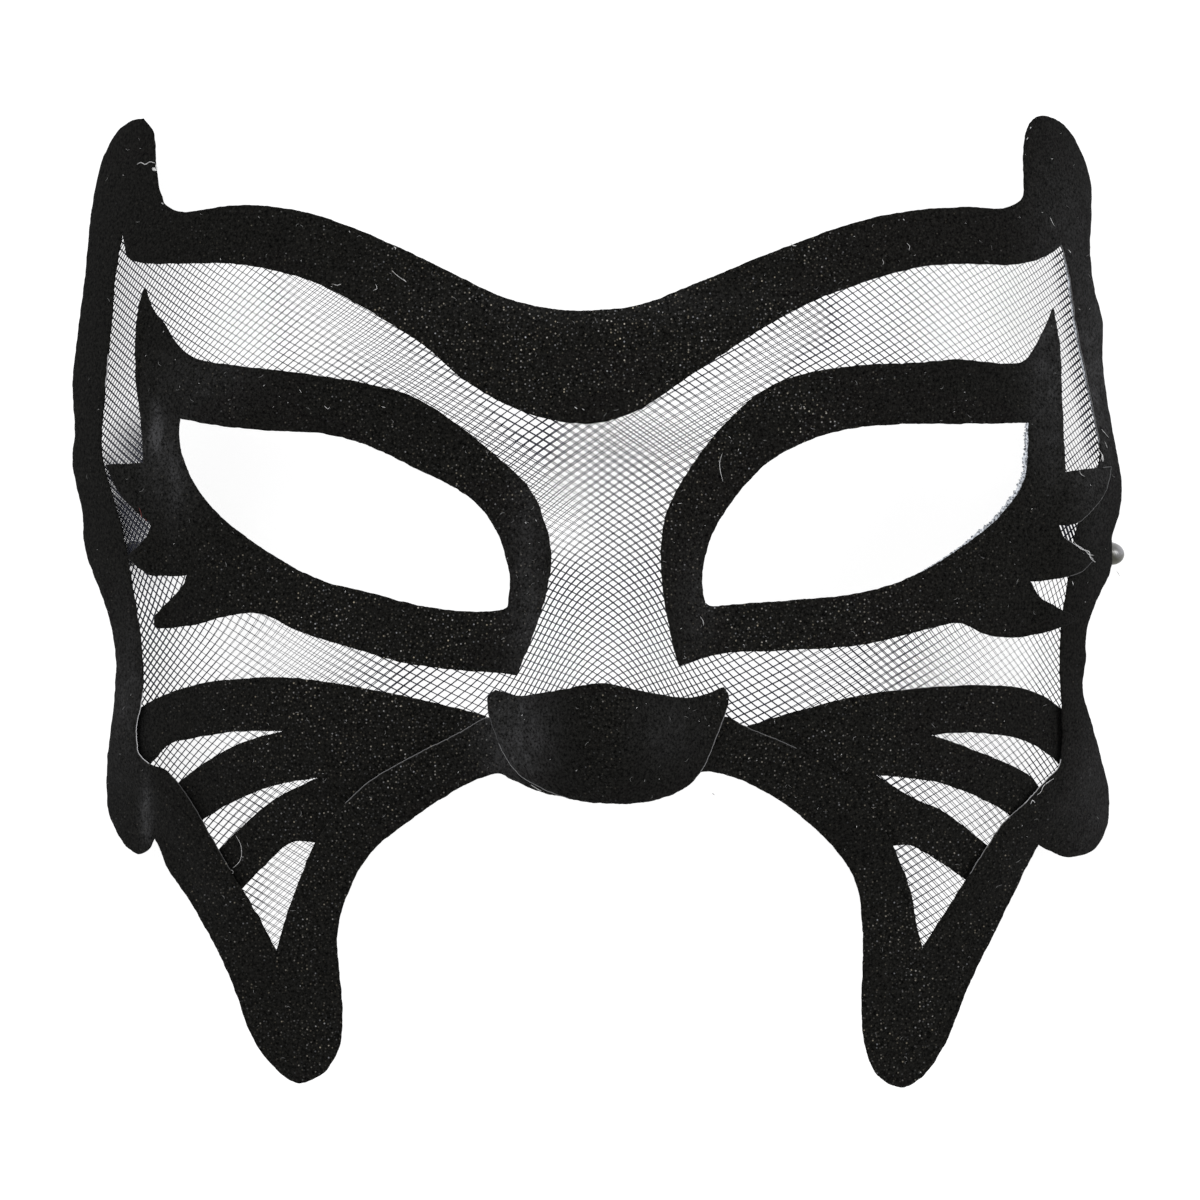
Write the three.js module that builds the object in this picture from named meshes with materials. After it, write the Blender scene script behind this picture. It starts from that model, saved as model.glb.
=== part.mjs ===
// Black half-face cat mask: a stiff moulded net with die-cut velvet pieces stuck on its front.
// Millimetres. The mask lies on its back, face up: +X runs to the viewer's right, +Y from the
// chin to the brow and +Z out of the face. The origin is below the middle of the mask.
// Every outline is drawn as it looks from straight in front and then laid on the face form,
// so the sides, which turn back steeply, are wider along the surface than their outline is.
import * as THREE from "three";

// Sheets
const VELVET_THICKNESS = 0.7;
const NET_THICKNESS = 0.5;
const LAYER_GAP = 0.4;
const LAP_STEP = VELVET_THICKNESS + LAYER_GAP; // how far a piece rises to pass over another
const LAP_CLEAR = 1.2; // it has risen fully this far before the other piece's edge
const LAP_RAMP = 6; // and starts to rise this far before it
const NET_INSET = 0.4; // the net ends this far inside the velvet's edges

// Face form
const FACE_HEIGHT = 50.5; // the face's middle line above the lowest edge, without the nose
const CROWN_Y = 12; // the level at which the middle line is highest
const CROWN_BOW = 20.8; // how slowly it falls off above and below that level
const NOSE_X = 0.8; // the nose stands a little to the right of the middle
const LEFT_WRAP = 0.93; // how upright the sides end: 1 is vertical
const RIGHT_WRAP = 0.985;

// Facets
const EDGE_STEP = 3.2; // longest stretch of an outline between two vertices
const FINE_STEP = 2.9; // spacing of the vertices on the nose
const COARSE_RATIO = 2; // elsewhere they are this much wider apart

// Cord tips: the metal ends of the head cord, behind the temples
const TIP_RADIUS = 1.75;
const TIP_LENGTH = 8;
const TIP_DOME = 2.2; // length of its rounded end
const TIP_SIDES = 20;
const TIP_RINGS = 4; // rings of facets on the rounded end
const LEFT_TIP_END = new THREE.Vector3(-74.6, 6, 1.6);
const LEFT_TIP_WAY = new THREE.Vector3(-0.38, -0.17, -0.91);
const RIGHT_TIP_END = new THREE.Vector3(80.6, 6.8, 4.4);
const RIGHT_TIP_WAY = new THREE.Vector3(0.95, -0.16, -0.27);

// A smooth function through knots [position, value], with a level tangent past the ends
function through(knots) {
  const slope = (i) => {
    const before = knots[Math.max(i - 1, 0)];
    const after = knots[Math.min(i + 1, knots.length - 1)];
    return (after[1] - before[1]) / (after[0] - before[0]);
  };
  return (t) => {
    const at = THREE.MathUtils.clamp(t, knots[0][0], knots[knots.length - 1][0]);
    let i = 0;
    while (i < knots.length - 2 && knots[i + 1][0] < at) i += 1;
    const [t0, v0] = knots[i];
    const [t1, v1] = knots[i + 1];
    const span = t1 - t0;
    const s = (at - t0) / span;
    const rise = s * s * (3 - 2 * s);
    const inner = s * (1 - s) * (1 - s) * slope(i) - s * s * (1 - s) * slope(i + 1);
    return v0 + (v1 - v0) * rise + span * inner;
  };
}

const leftHalfWidth = through([[-75, 75], [-40, 75.8], [-28, 76.1], [-8, 78], [20, 82.2], [38, 82.2], [60, 78.5], [76, 75]]);
const rightHalfWidth = through([[-75, 76], [-40, 78], [-30, 78.45], [-8, 79.4], [17, 81.6], [33, 78.6], [46, 77.3], [60, 76.3], [76, 73.7]]);
const noseRise = through([[-45, 6], [-33, 14], [-22, 19], [-12, 16.5], [0, 11.5], [12, 7.5], [24, 3.5], [38, 0]]);
const noseHalfWidth = through([[-40, 16], [-20, 14.5], [0, 11], [20, 9.5], [40, 10]]);

function mound(x, y, height, centreX, centreY, halfWidth, halfLength) {
  const across = (x - centreX) / halfWidth;
  const along = (y - centreY) / halfLength;
  return height * Math.exp(-across * across - along * along);
}

// Height of the face form over the point x, y
function faceHeight(x, y) {
  const left = x < 0;
  const wrap = left ? LEFT_WRAP : RIGHT_WRAP;
  const reach = Math.min(Math.abs(x) / (left ? leftHalfWidth(y) : rightHalfWidth(y)), 1);
  const fallen = (1 - Math.sqrt(1 - (wrap * reach) ** 2)) / (1 - Math.sqrt(1 - wrap * wrap));
  const middle = FACE_HEIGHT - ((y - CROWN_Y) / CROWN_BOW) ** 2;
  const side = Math.abs(x - NOSE_X);
  const nose = noseRise(y) * Math.exp(-((side / noseHalfWidth(y)) ** 2));
  const brow = mound(side, y, 2.5, 38, 37, 24, 12);
  const socket = mound(side, y, -4.5, 40, 13, 19, 16);
  const cheek = mound(side, y, 3, 45, -20, 19, 16);
  return middle * (1 - fallen) + nose + brow + socket + cheek;
}

function faceNormal(x, y) {
  const h = 0.05;
  const slopeX = (faceHeight(x + h, y) - faceHeight(x - h, y)) / (2 * h);
  const slopeY = (faceHeight(x, y + h) - faceHeight(x, y - h)) / (2 * h);
  return new THREE.Vector3(-slopeX, -slopeY, 1).normalize();
}

// Position along the surface from left to right, so that facets are even on the steep sides too
const ROLL_STEP = 0.5;
const ROLL_FROM = -84;
const rolled = [0];
for (let x = ROLL_FROM; x < -ROLL_FROM; x += ROLL_STEP) {
  const wrapped = (at) => faceHeight(at, 40);
  const rise = wrapped(x + ROLL_STEP) - wrapped(x);
  rolled.push(rolled[rolled.length - 1] + Math.hypot(ROLL_STEP, rise));
}
function unroll(x) {
  const cell = (x - ROLL_FROM) / ROLL_STEP;
  const i = THREE.MathUtils.clamp(Math.floor(cell), 0, rolled.length - 2);
  return rolled[i] + (cell - i) * (rolled[i + 1] - rolled[i]);
}
function rollBack(along) {
  let i = 0;
  while (i < rolled.length - 2 && rolled[i + 1] < along) i += 1;
  return ROLL_FROM + ROLL_STEP * (i + (along - rolled[i]) / (rolled[i + 1] - rolled[i]));
}

// A closed outline from smooth runs: each run starts at the corner where the last one ended
function outline(...runs) {
  const points = [];
  for (const run of runs) {
    const next = runs[(runs.indexOf(run) + 1) % runs.length][0];
    const knots = [...run, next].map(([x, y]) => new THREE.Vector3(x, y, 0));
    const curve = new THREE.CatmullRomCurve3(knots, false, "centripetal");
    for (let i = 0; i < knots.length - 1; i += 1) {
      const steps = Math.ceil(knots[i].distanceTo(knots[i + 1]) / EDGE_STEP);
      for (let k = 0; k < steps; k += 1) {
        const { x, y } = curve.getPoint((i + k / steps) / (knots.length - 1));
        points.push(new THREE.Vector2(x, y));
      }
    }
  }
  return THREE.ShapeUtils.isClockWise(points) ? points.reverse() : points;
}

function distanceToEdge(point, loop) {
  let nearest = Infinity;
  for (let i = 0; i < loop.length; i += 1) {
    const a = loop[i];
    const edge = loop[(i + 1) % loop.length].clone().sub(a);
    const t = THREE.MathUtils.clamp(point.clone().sub(a).dot(edge) / edge.lengthSq(), 0, 1);
    nearest = Math.min(nearest, point.distanceTo(edge.multiplyScalar(t).add(a)));
  }
  return nearest;
}

function inside(point, loop) {
  let odd = false;
  for (let i = 0; i < loop.length; i += 1) {
    const a = loop[i];
    const b = loop[(i + 1) % loop.length];
    const crosses = a.y > point.y !== b.y > point.y;
    if (crosses && point.x < a.x + ((b.x - a.x) * (point.y - a.y)) / (b.y - a.y)) odd = !odd;
  }
  return odd;
}

// The same outline moved by distance, inwards where it is positive
function inset(loop, distance) {
  return loop.map((point, i) => {
    const before = loop[(i + loop.length - 1) % loop.length];
    const after = loop[(i + 1) % loop.length];
    const inward = (a, b) => new THREE.Vector2(a.y - b.y, b.x - a.x).normalize();
    const mean = inward(before, point).add(inward(point, after)).normalize();
    return point.clone().addScaledVector(mean, distance);
  });
}

// Border: one frame with the ears, brow band, side strips, cheek lobes, fangs and muzzle arcs
const borderEdge = outline(
  [
    // left ear and brow band
    [-70.3, 74], [-68.7, 72], [-68, 67], [-67.7, 63], [-66.6, 60.8], [-64.3, 59.8], [-60, 60.2],
    [-54, 60.7], [-47, 59.9], [-40, 57.9], [-30.2, 53.8], [-20.8, 49.2], [-14, 46.2], [-8, 44.8],
    [-1.5, 44.5], [6, 45.3], [15.4, 48.9], [30.8, 55.1], [40, 58.2], [48, 59.9], [56, 60.6],
    [62.5, 60.4], [64.8, 61.7], [65.2, 64], [65.1, 69], [66, 73], [67.8, 74.4],
    // right ear and side strip
    [71, 73.3], [73.8, 69.4], [75.4, 64.5], [75.6, 60], [75.4, 53], [76.1, 47.5], [77.1, 43],
    [77.2, 37], [78, 30.8], [79.4, 23], [80.3, 17.5], [79.6, 12.7], [78.6, 8.5], [78.3, 4.6],
    [76, -1], [74.8, -5], [74.7, -9], [74.2, -13.5], [75.5, -19.3], [77, -24.5], [78.2, -30],
    [77.9, -35], [75.8, -38.4], [72, -39.5], [69, -38.4],
  ],
  [
    // right fang
    [67.5, -37.6], [65.6, -40.7], [61.4, -49.2], [56.9, -58.5], [53.1, -67.8], [50, -72.8],
    [46.6, -74.8], [43, -73], [41.2, -69.6], [40.4, -64], [40.3, -50], [39.2, -42.9],
    [35.4, -37.3], [28.2, -31.1], [22, -27.7], [17.6, -26.4],
    // under the nose
    [15, -26.5], [9, -29.3], [1, -30.3], [-8, -29.8], [-13.3, -27.4], [-15.7, -26.6],
    // left fang
    [-20, -28], [-28, -32.7], [-35.2, -38.7], [-38.9, -45], [-40.5, -51], [-40.3, -57],
    [-39.7, -64], [-40.4, -69.2], [-43, -72.8], [-46.6, -74.2], [-50.6, -71], [-53.6, -66.3],
    [-56, -60], [-59.2, -52.9], [-62.9, -46.2], [-66.4, -41], [-67.8, -37.9],
  ],
  [
    // left cheek lobe and side strip
    [-68.6, -36.6], [-69.4, -38.2], [-70.9, -39], [-72.5, -38.2], [-74.5, -35.3], [-75.6, -32],
    [-75.6, -24], [-74.5, -15.5], [-74.4, -8.5], [-75.6, -2], [-79, 8], [-79.5, 13.5],
    [-80.9, 20.5], [-80.7, 26], [-81, 33], [-80, 42], [-79, 51], [-78, 60], [-76.6, 67.5],
    [-74.4, 71.8], [-72.2, 73.6],
  ],
);
const borderWindow = outline(
  [
    // lower edge of the brow band
    [-73.8, 55.3], [-72.7, 53], [-70.5, 51.9], [-64, 51.8], [-57, 51.8], [-50, 50.8],
    [-43.5, 48.8], [-35.5, 44.6], [-27, 39.2], [-20.5, 33.8], [-11.8, 29.4], [-5, 27.4],
    [0, 27.4], [6.2, 29.4], [15.4, 35.7], [30.8, 45.2], [40, 48.9], [49.2, 51.4], [55, 51.9],
    [64.6, 51.8], [68.8, 53.1],
  ],
  [
    // inner edge of the right side strip and cheek lobe, outer side of the fang window
    [71.3, 54.9], [72.2, 50.8], [73.2, 43], [74.6, 35.4], [76.2, 27.7], [77, 22.5], [76, 17.5],
    [73.6, 11], [72.4, 4.5], [71.2, -4], [70.9, -10], [71.3, -17.5], [70.9, -25.3],
    [69, -27.9], [66.5, -30.3], [62, -34.5], [60, -37.5], [55.2, -45],
  ],
  [
    // inner side of the fang window and upper edge of the right muzzle arc
    [49.6, -53.3], [48.5, -49.2], [47.6, -44.5], [45, -38], [41.5, -32], [37.5, -27.7],
    [30, -22.8], [23, -19.8], [19, -18],
    // under the nose
    [9, -19.7], [-8, -19.6], [-17, -18.1],
    // the same on the left
    [-22, -20.7], [-30, -24.7], [-36.2, -28.6], [-40.8, -33.1], [-43.7, -37.3], [-46.6, -44.2],
    [-48.6, -50],
  ],
  [
    // outer side of the left fang window, inner edge of the left cheek lobe and side strip
    [-49.7, -53.9], [-52.7, -48.7], [-57, -41.6], [-60.4, -35.4], [-64, -29.6], [-67, -26.2],
    [-69.4, -25.3], [-71, -23.7], [-71.5, -20.5], [-70.6, -15], [-70.6, -8], [-72, 1.5],
    [-74, 12], [-76.6, 21.2], [-76.9, 24.5], [-76.3, 32], [-75.1, 42], [-74.5, 50],
  ],
);

// Eye surrounds: each with a spike above and three whisker points at its outer corner
const leftEyeEdge = outline(
  [
    [-70, 48], [-68.8, 44.6], [-65.5, 40], [-62.6, 37.4], [-56, 36.1], [-46.2, 35], [-35, 33.2],
    [-28, 31], [-20.9, 26.2], [-15.4, 21.5], [-10.8, 16.9], [-8.5, 11.5], [-7.7, 6.2],
    [-8.7, 0.5], [-10.8, -6.2],
  ],
  [
    [-12.9, -11.5], [-15.4, -11.1], [-22, -10.7], [-30.8, -9.4], [-40, -6.7], [-46.2, -4.8],
    [-52.3, -2.1], [-57, -2.3], [-63, -3.8], [-68.3, -4.1], [-68.6, -2.8], [-66.3, 0], [-64, 2.7],
  ],
  [[-63.7, 3.7], [-66.5, 3.7], [-69.5, 4.2]],
  [[-72.8, 6.6], [-70, 9], [-69.1, 11]],
  [[-69.3, 12], [-72, 14.2], [-74.3, 17]],
  [[-76, 20.8], [-73, 20.8]],
  [[-70.3, 21.1], [-70.5, 26], [-71.5, 35.5], [-71, 45]],
);
const leftEyeHole = outline(
  [
    [-64.7, 28], [-60, 27.1], [-52, 26.2], [-43, 25.7], [-36.9, 24.3], [-27.7, 20], [-20, 15.8],
    [-15.8, 10.8], [-13.6, 3.5], [-13.9, 0.4], [-14.9, -1.6], [-18, -1.9], [-26, -1.5],
    [-36.9, 1.2], [-43.1, 2.9], [-50, 6.5], [-58.5, 12.5], [-62.9, 18.5], [-64.9, 24.6],
  ],
);
const rightEyeEdge = outline(
  [
    [69.8, 44.9], [70.6, 39], [71.1, 30], [71.5, 22],
  ],
  [[71.4, 19.2], [75, 20]],
  [[78.7, 20.5], [78, 17.2], [76, 14.1], [73.4, 11.9]],
  [[70.5, 11.6], [71.2, 9.6], [74.3, 7.8]],
  [[76, 6.1], [74, 4.3], [70, 3.3]],
  [[66.2, 2.9], [67.5, 0.5], [70, -1]],
  [
    [73.6, -2.8], [70.8, -4.2], [64.6, -5.6], [60, -5.4], [55.4, -3.5], [50, -4.3], [40, -6.8],
    [27.7, -7.9], [18.5, -8.4],
  ],
  [
    [12.3, -10], [11.1, -6.2], [9.5, 2], [9.3, 8], [10.3, 13.8], [14.5, 21.4], [20, 28],
    [25.4, 32.3], [31, 34.6], [40, 36], [55, 37], [62, 36.2], [65.2, 36.3], [67.8, 40],
  ],
);
const rightEyeHole = outline(
  [[66.1, 27.4], [66, 23], [65.2, 18.5], [62, 13.2], [55.4, 7.8], [47.5, 3.3], [40, 0.8], [30.8, -0.2],
    [20, -0.8], [16.6, -0.7], [15.6, 2], [16.1, 7.5], [18, 12], [24.6, 20.2], [30, 23.7], [36.9, 26.2],
    [45, 27.1]],
);

// Whiskers: three stripes on each cheek, whose ends go under the border
const leftWhiskers = outline(
  [
    [-17.8, -18.6], [-24.6, -16.2], [-35, -13.9], [-48, -12], [-60, -12.6], [-66.5, -14.4],
    [-70.2, -17.3], [-70.7, -20.5], [-70.1, -23.8], [-69.1, -24.5], [-66.5, -22.2], [-62, -21.1],
    [-55, -20.1],
  ],
  [[-48, -20.1], [-55, -22], [-61, -25]],
  [[-66.2, -29.3]],
  [[-62.3, -34.5], [-57.5, -31.6], [-50, -28.3]],
  [[-42.8, -26.9], [-50, -30.1], [-55.4, -35]],
  [[-59.6, -39.4]],
  [[-56.2, -45.4], [-51.5, -41], [-47.3, -37.1], [-43.7, -37.2]],
  [[-42.2, -37.3], [-39, -32.7], [-33, -27.8], [-22, -22.3]],
);
const rightWhiskers = outline(
  [[22.6, -19.5], [30, -17.3], [40, -14.8], [50, -13.6], [60, -13.1], [66.5, -14], [70, -16.4]],
  [[72.1, -18], [72.3, -22]],
  [[71.9, -26.6], [69.4, -23.8], [65, -21], [57, -20.1]],
  [[50.4, -20.7], [57, -23], [63, -25.7], [66.6, -27.6], [67.3, -29]],
  [[67.3, -31.4]],
  [[64.3, -33.8], [60, -31.1], [52, -28]],
  [[42.5, -26.8], [48, -30.2], [53, -32.8]],
  [[60.8, -38.8]],
  [[57.5, -43.7], [52, -40], [47.5, -37.6]],
  [[43.7, -38], [40, -32.3], [36, -28.4], [30, -24.5]],
);

// Nose: a crescent that lies over the border
const noseEdge = outline(
  [[-16.3, -14.1], [-12.5, -14.8], [-6, -13.9], [0, -12.9], [6, -14], [12.5, -15.1], [16, -14.7]],
  [
    [18.9, -13.6], [19.7, -15.2], [18.3, -20], [15.6, -26.2], [13, -28.9], [8, -30.7], [3, -31.3],
    [-4, -30.6], [-9, -28.5], [-13, -25.8], [-15.8, -21.5], [-17.3, -15.9], [-17, -14.6],
  ],
);

const ease = THREE.MathUtils.smoothstep;
// 1 over a piece that lies below, falling to 0 away from its edge
function lapOver(point, loop, over) {
  const distance = distanceToEdge(point, loop) * (over ? -1 : 1);
  return 1 - ease(distance, LAP_CLEAR, LAP_RAMP);
}
const borderLift = (p) => LAP_STEP * Math.max(
  lapOver(p, leftWhiskers, inside(p, leftWhiskers)),
  lapOver(p, rightWhiskers, inside(p, rightWhiskers)),
);
const eyeLift = (p) => LAP_STEP * lapOver(p, borderWindow, !inside(p, borderWindow));
const noseLift = (p) => LAP_STEP + borderLift(p);

// Vertices between the outlines, on a triangular grid that is finer on the nose
function innerPoints(loops) {
  const points = [];
  const clear = FINE_STEP * 0.75;
  const rows = Math.ceil(150 / FINE_STEP);
  const rowStep = FINE_STEP * Math.sqrt(0.75);
  for (let row = 0; row < rows; row += 1) {
    for (let column = 0; column * rowStep < rolled[rolled.length - 1]; column += 1) {
      const along = column * rowStep;
      const shift = column % (2 * COARSE_RATIO) < COARSE_RATIO ? 0 : 0.5 * COARSE_RATIO;
      const fineShift = column % 2 ? 0.5 : 0;
      const coarse = column % COARSE_RATIO === 0 && row % COARSE_RATIO === 0;
      const x = rollBack(along);
      const y = -76 + (row + (coarse ? shift : fineShift)) * FINE_STEP;
      const onNose = Math.abs(x - NOSE_X) < 25 && y > -35 && y < 24;
      const point = new THREE.Vector2(x, y);
      if (!coarse && !onNose) continue;
      if (!inside(point, loops[0]) || loops.slice(1).some((hole) => inside(point, hole))) continue;
      const room = onNose ? clear : clear * 1.3;
      if (loops.some((loop) => distanceToEdge(point, loop) < room * 0.8)) continue;
      points.push(point);
    }
  }
  return points;
}

// Triangles between the outlines, Delaunay wherever an outline leaves them free
function triangulate(loops) {
  const points = loops.flat();
  const flat = points.map((p) => [unroll(p.x), p.y]);
  const flatLoops = loops.map((loop) => loop.map((p) => new THREE.Vector2(unroll(p.x), p.y)));
  const triangles = [];
  const owner = new Map();
  const key = (a, b) => a * 65536 + b;
  const area = (a, b, c) => {
    const [A, B, C] = [flat[a], flat[b], flat[c]];
    return (B[0] - A[0]) * (C[1] - A[1]) - (C[0] - A[0]) * (B[1] - A[1]);
  };
  const put = (id, a, b, c) => {
    triangles[id] = [a, b, c];
    owner.set(key(a, b), id).set(key(b, c), id).set(key(c, a), id);
  };
  const apex = (id, a, b) => triangles[id].find((v) => v !== a && v !== b);
  const inCircle = (a, b, c, d) => {
    const [ax, ay, bx, by, cx, cy] = [a, b, c].flatMap((v) => [flat[v][0] - flat[d][0], flat[v][1] - flat[d][1]]);
    const [A, B, C] = [ax * ax + ay * ay, bx * bx + by * by, cx * cx + cy * cy];
    return A * (bx * cy - cx * by) - B * (ax * cy - cx * ay) + C * (ax * by - bx * ay);
  };
  const settle = (queue) => {
    while (queue.length) {
      const [a, b] = queue.pop();
      const [here, there] = [owner.get(key(a, b)), owner.get(key(b, a))];
      if (here === undefined || there === undefined) continue;
      const [p, q] = [apex(here, a, b), apex(there, a, b)];
      if (inCircle(a, b, p, q) < 1e-7 || area(a, q, p) < 1e-6 || area(q, b, p) < 1e-6) continue;
      owner.delete(key(a, b));
      owner.delete(key(b, a));
      put(here, a, q, p);
      put(there, q, b, p);
      queue.push([a, q], [q, b], [b, p], [p, a]);
    }
  };
  for (const face of THREE.ShapeUtils.triangulateShape(flatLoops[0], flatLoops.slice(1))) {
    const [a, b, c] = area(...face) > 0 ? face : [face[0], face[2], face[1]];
    put(triangles.length, a, b, c);
  }
  settle(triangles.flatMap(([a, b, c]) => [[a, b], [b, c], [c, a]]));
  for (const point of innerPoints(loops)) {
    const d = points.push(point) - 1;
    flat.push([unroll(point.x), point.y]);
    const id = triangles.findIndex(([a, b, c]) => area(a, b, d) > 0 && area(b, c, d) > 0 && area(c, a, d) > 0);
    if (id < 0) continue;
    const [a, b, c] = triangles[id];
    put(id, a, b, d);
    put(triangles.length, b, c, d);
    put(triangles.length, c, a, d);
    settle([[a, b], [b, c], [c, a]]);
  }
  const rim = triangles.flatMap(([a, b, c]) => [[a, b], [b, c], [c, a]]).filter(([a, b]) => !owner.has(key(b, a)));
  return { points, triangles, rim };
}

// A sheet of even thickness on the face form: top is how deep its front lies below the form
function sheet(loops, depth, thickness, lift = () => 0) {
  const { points, triangles, rim } = triangulate(loops);
  const positions = [];
  for (const side of [0, 1]) {
    for (const point of points) {
      const normal = faceNormal(point.x, point.y);
      const place = new THREE.Vector3(point.x, point.y, faceHeight(point.x, point.y));
      place.z += lift(point) / normal.z;
      place.addScaledVector(normal, -depth - side * thickness);
      positions.push(...place.toArray());
    }
  }
  const back = points.length;
  const faces = triangles.flatMap(([a, b, c]) => [a, b, c, back + a, back + c, back + b]);
  const wall = rim.flatMap(([a, b]) => [b, a, back + a, b, back + a, back + b]);
  const geometry = new THREE.BufferGeometry();
  geometry.setAttribute("position", new THREE.Float32BufferAttribute(positions, 3));
  geometry.setIndex([...faces, ...wall]);
  return geometry;
}

// The metal tip of a cord: round at its end, flat where the cord goes in
function cordTip(end, way) {
  const profile = [new THREE.Vector2(0, 0), new THREE.Vector2(TIP_RADIUS, 0)];
  for (let ring = 0; ring <= TIP_RINGS; ring += 1) {
    const turn = (ring / TIP_RINGS) * (Math.PI / 2);
    const along = TIP_LENGTH - TIP_DOME + TIP_DOME * Math.sin(turn);
    profile.push(new THREE.Vector2(ring < TIP_RINGS ? TIP_RADIUS * Math.cos(turn) : 0, along));
  }
  const axis = way.clone().normalize();
  const base = end.clone().addScaledVector(axis, -TIP_LENGTH);
  const turn = new THREE.Quaternion().setFromUnitVectors(new THREE.Vector3(0, 1, 0), axis);
  return new THREE.LatheGeometry(profile, TIP_SIDES).applyQuaternion(turn).translate(...base.toArray());
}

const velvet = new THREE.MeshStandardMaterial({ color: 0x0b0b0c, roughness: 1, metalness: 0 });
const netting = new THREE.MeshStandardMaterial({ color: 0x2a2a2e, roughness: 0.8, metalness: 0 });
const metal = new THREE.MeshStandardMaterial({ color: 0x8c8c8c, roughness: 0.4, metalness: 1 });

const netLoops = [inset(borderEdge, NET_INSET), inset(leftEyeHole, -NET_INSET), inset(rightEyeHole, -NET_INSET)];
const parts = {
  net: [sheet(netLoops, VELVET_THICKNESS + LAYER_GAP, NET_THICKNESS), netting],
  border: [sheet([borderEdge, borderWindow], 0, VELVET_THICKNESS, borderLift), velvet],
  eye_left: [sheet([leftEyeEdge, leftEyeHole], 0, VELVET_THICKNESS, eyeLift), velvet],
  eye_right: [sheet([rightEyeEdge, rightEyeHole], 0, VELVET_THICKNESS, eyeLift), velvet],
  whiskers_left: [sheet([leftWhiskers], 0, VELVET_THICKNESS), velvet],
  whiskers_right: [sheet([rightWhiskers], 0, VELVET_THICKNESS), velvet],
  nose: [sheet([noseEdge], 0, VELVET_THICKNESS, noseLift), velvet],
  cord_tip_left: [cordTip(LEFT_TIP_END, LEFT_TIP_WAY), metal],
  cord_tip_right: [cordTip(RIGHT_TIP_END, RIGHT_TIP_WAY), metal],
};

const mask = new THREE.Group();
for (const [name, [geometry, material]] of Object.entries(parts)) {
  const mesh = new THREE.Mesh(geometry, material);
  mesh.name = name;
  mask.add(mesh);
}
const box = new THREE.Box3().setFromObject(mask);
mask.position.set(-(box.min.x + box.max.x) / 2, -(box.min.y + box.max.y) / 2, -box.min.z);

export default mask;
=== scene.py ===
import bmesh
import bpy
import math
import numpy as np
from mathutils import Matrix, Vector
from mathutils.geometry import delaunay_2d_cdt
from mathutils.kdtree import KDTree


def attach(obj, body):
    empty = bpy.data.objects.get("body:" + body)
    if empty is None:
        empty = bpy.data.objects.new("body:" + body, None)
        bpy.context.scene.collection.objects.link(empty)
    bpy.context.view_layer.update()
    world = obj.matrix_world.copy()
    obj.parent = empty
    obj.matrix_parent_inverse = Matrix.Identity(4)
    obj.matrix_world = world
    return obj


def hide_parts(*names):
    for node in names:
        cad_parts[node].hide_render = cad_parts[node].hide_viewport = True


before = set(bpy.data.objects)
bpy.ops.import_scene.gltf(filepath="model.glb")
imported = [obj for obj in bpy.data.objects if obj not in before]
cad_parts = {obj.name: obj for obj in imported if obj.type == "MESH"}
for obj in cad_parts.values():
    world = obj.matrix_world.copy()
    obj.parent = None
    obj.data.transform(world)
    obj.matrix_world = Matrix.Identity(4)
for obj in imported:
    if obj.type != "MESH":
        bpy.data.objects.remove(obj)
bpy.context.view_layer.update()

# Outlines, form and layers are in millimetres as the mask is seen from straight in front,
# and the finished meshes are in metres, moved into the row's frame.
MM = 0.001
ROW_SHIFT = np.array([0.175, 0.2, -0.178])
RANDOM = np.random.default_rng(7)

# The camera looks straight down, and the photograph's scale holds at the picture level.
CAMERA_HEIGHT = 6.0
PICTURE_LEVEL = 0.035
PHOTO_PIXELS = 1200
PIXELS_PER_MM = 6.5

# Layers, and the steps where one piece of velvet goes over another
VELVET_THICKNESS = 0.7
LAYER_GAP = 0.4
LAP_STEP = VELVET_THICKNESS + LAYER_GAP
LAP_CLEAR = 1.2
LAP_RAMP = 6.0

# Each outline is a list of runs, and a run goes on to the first point of the next one, a corner.

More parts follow.
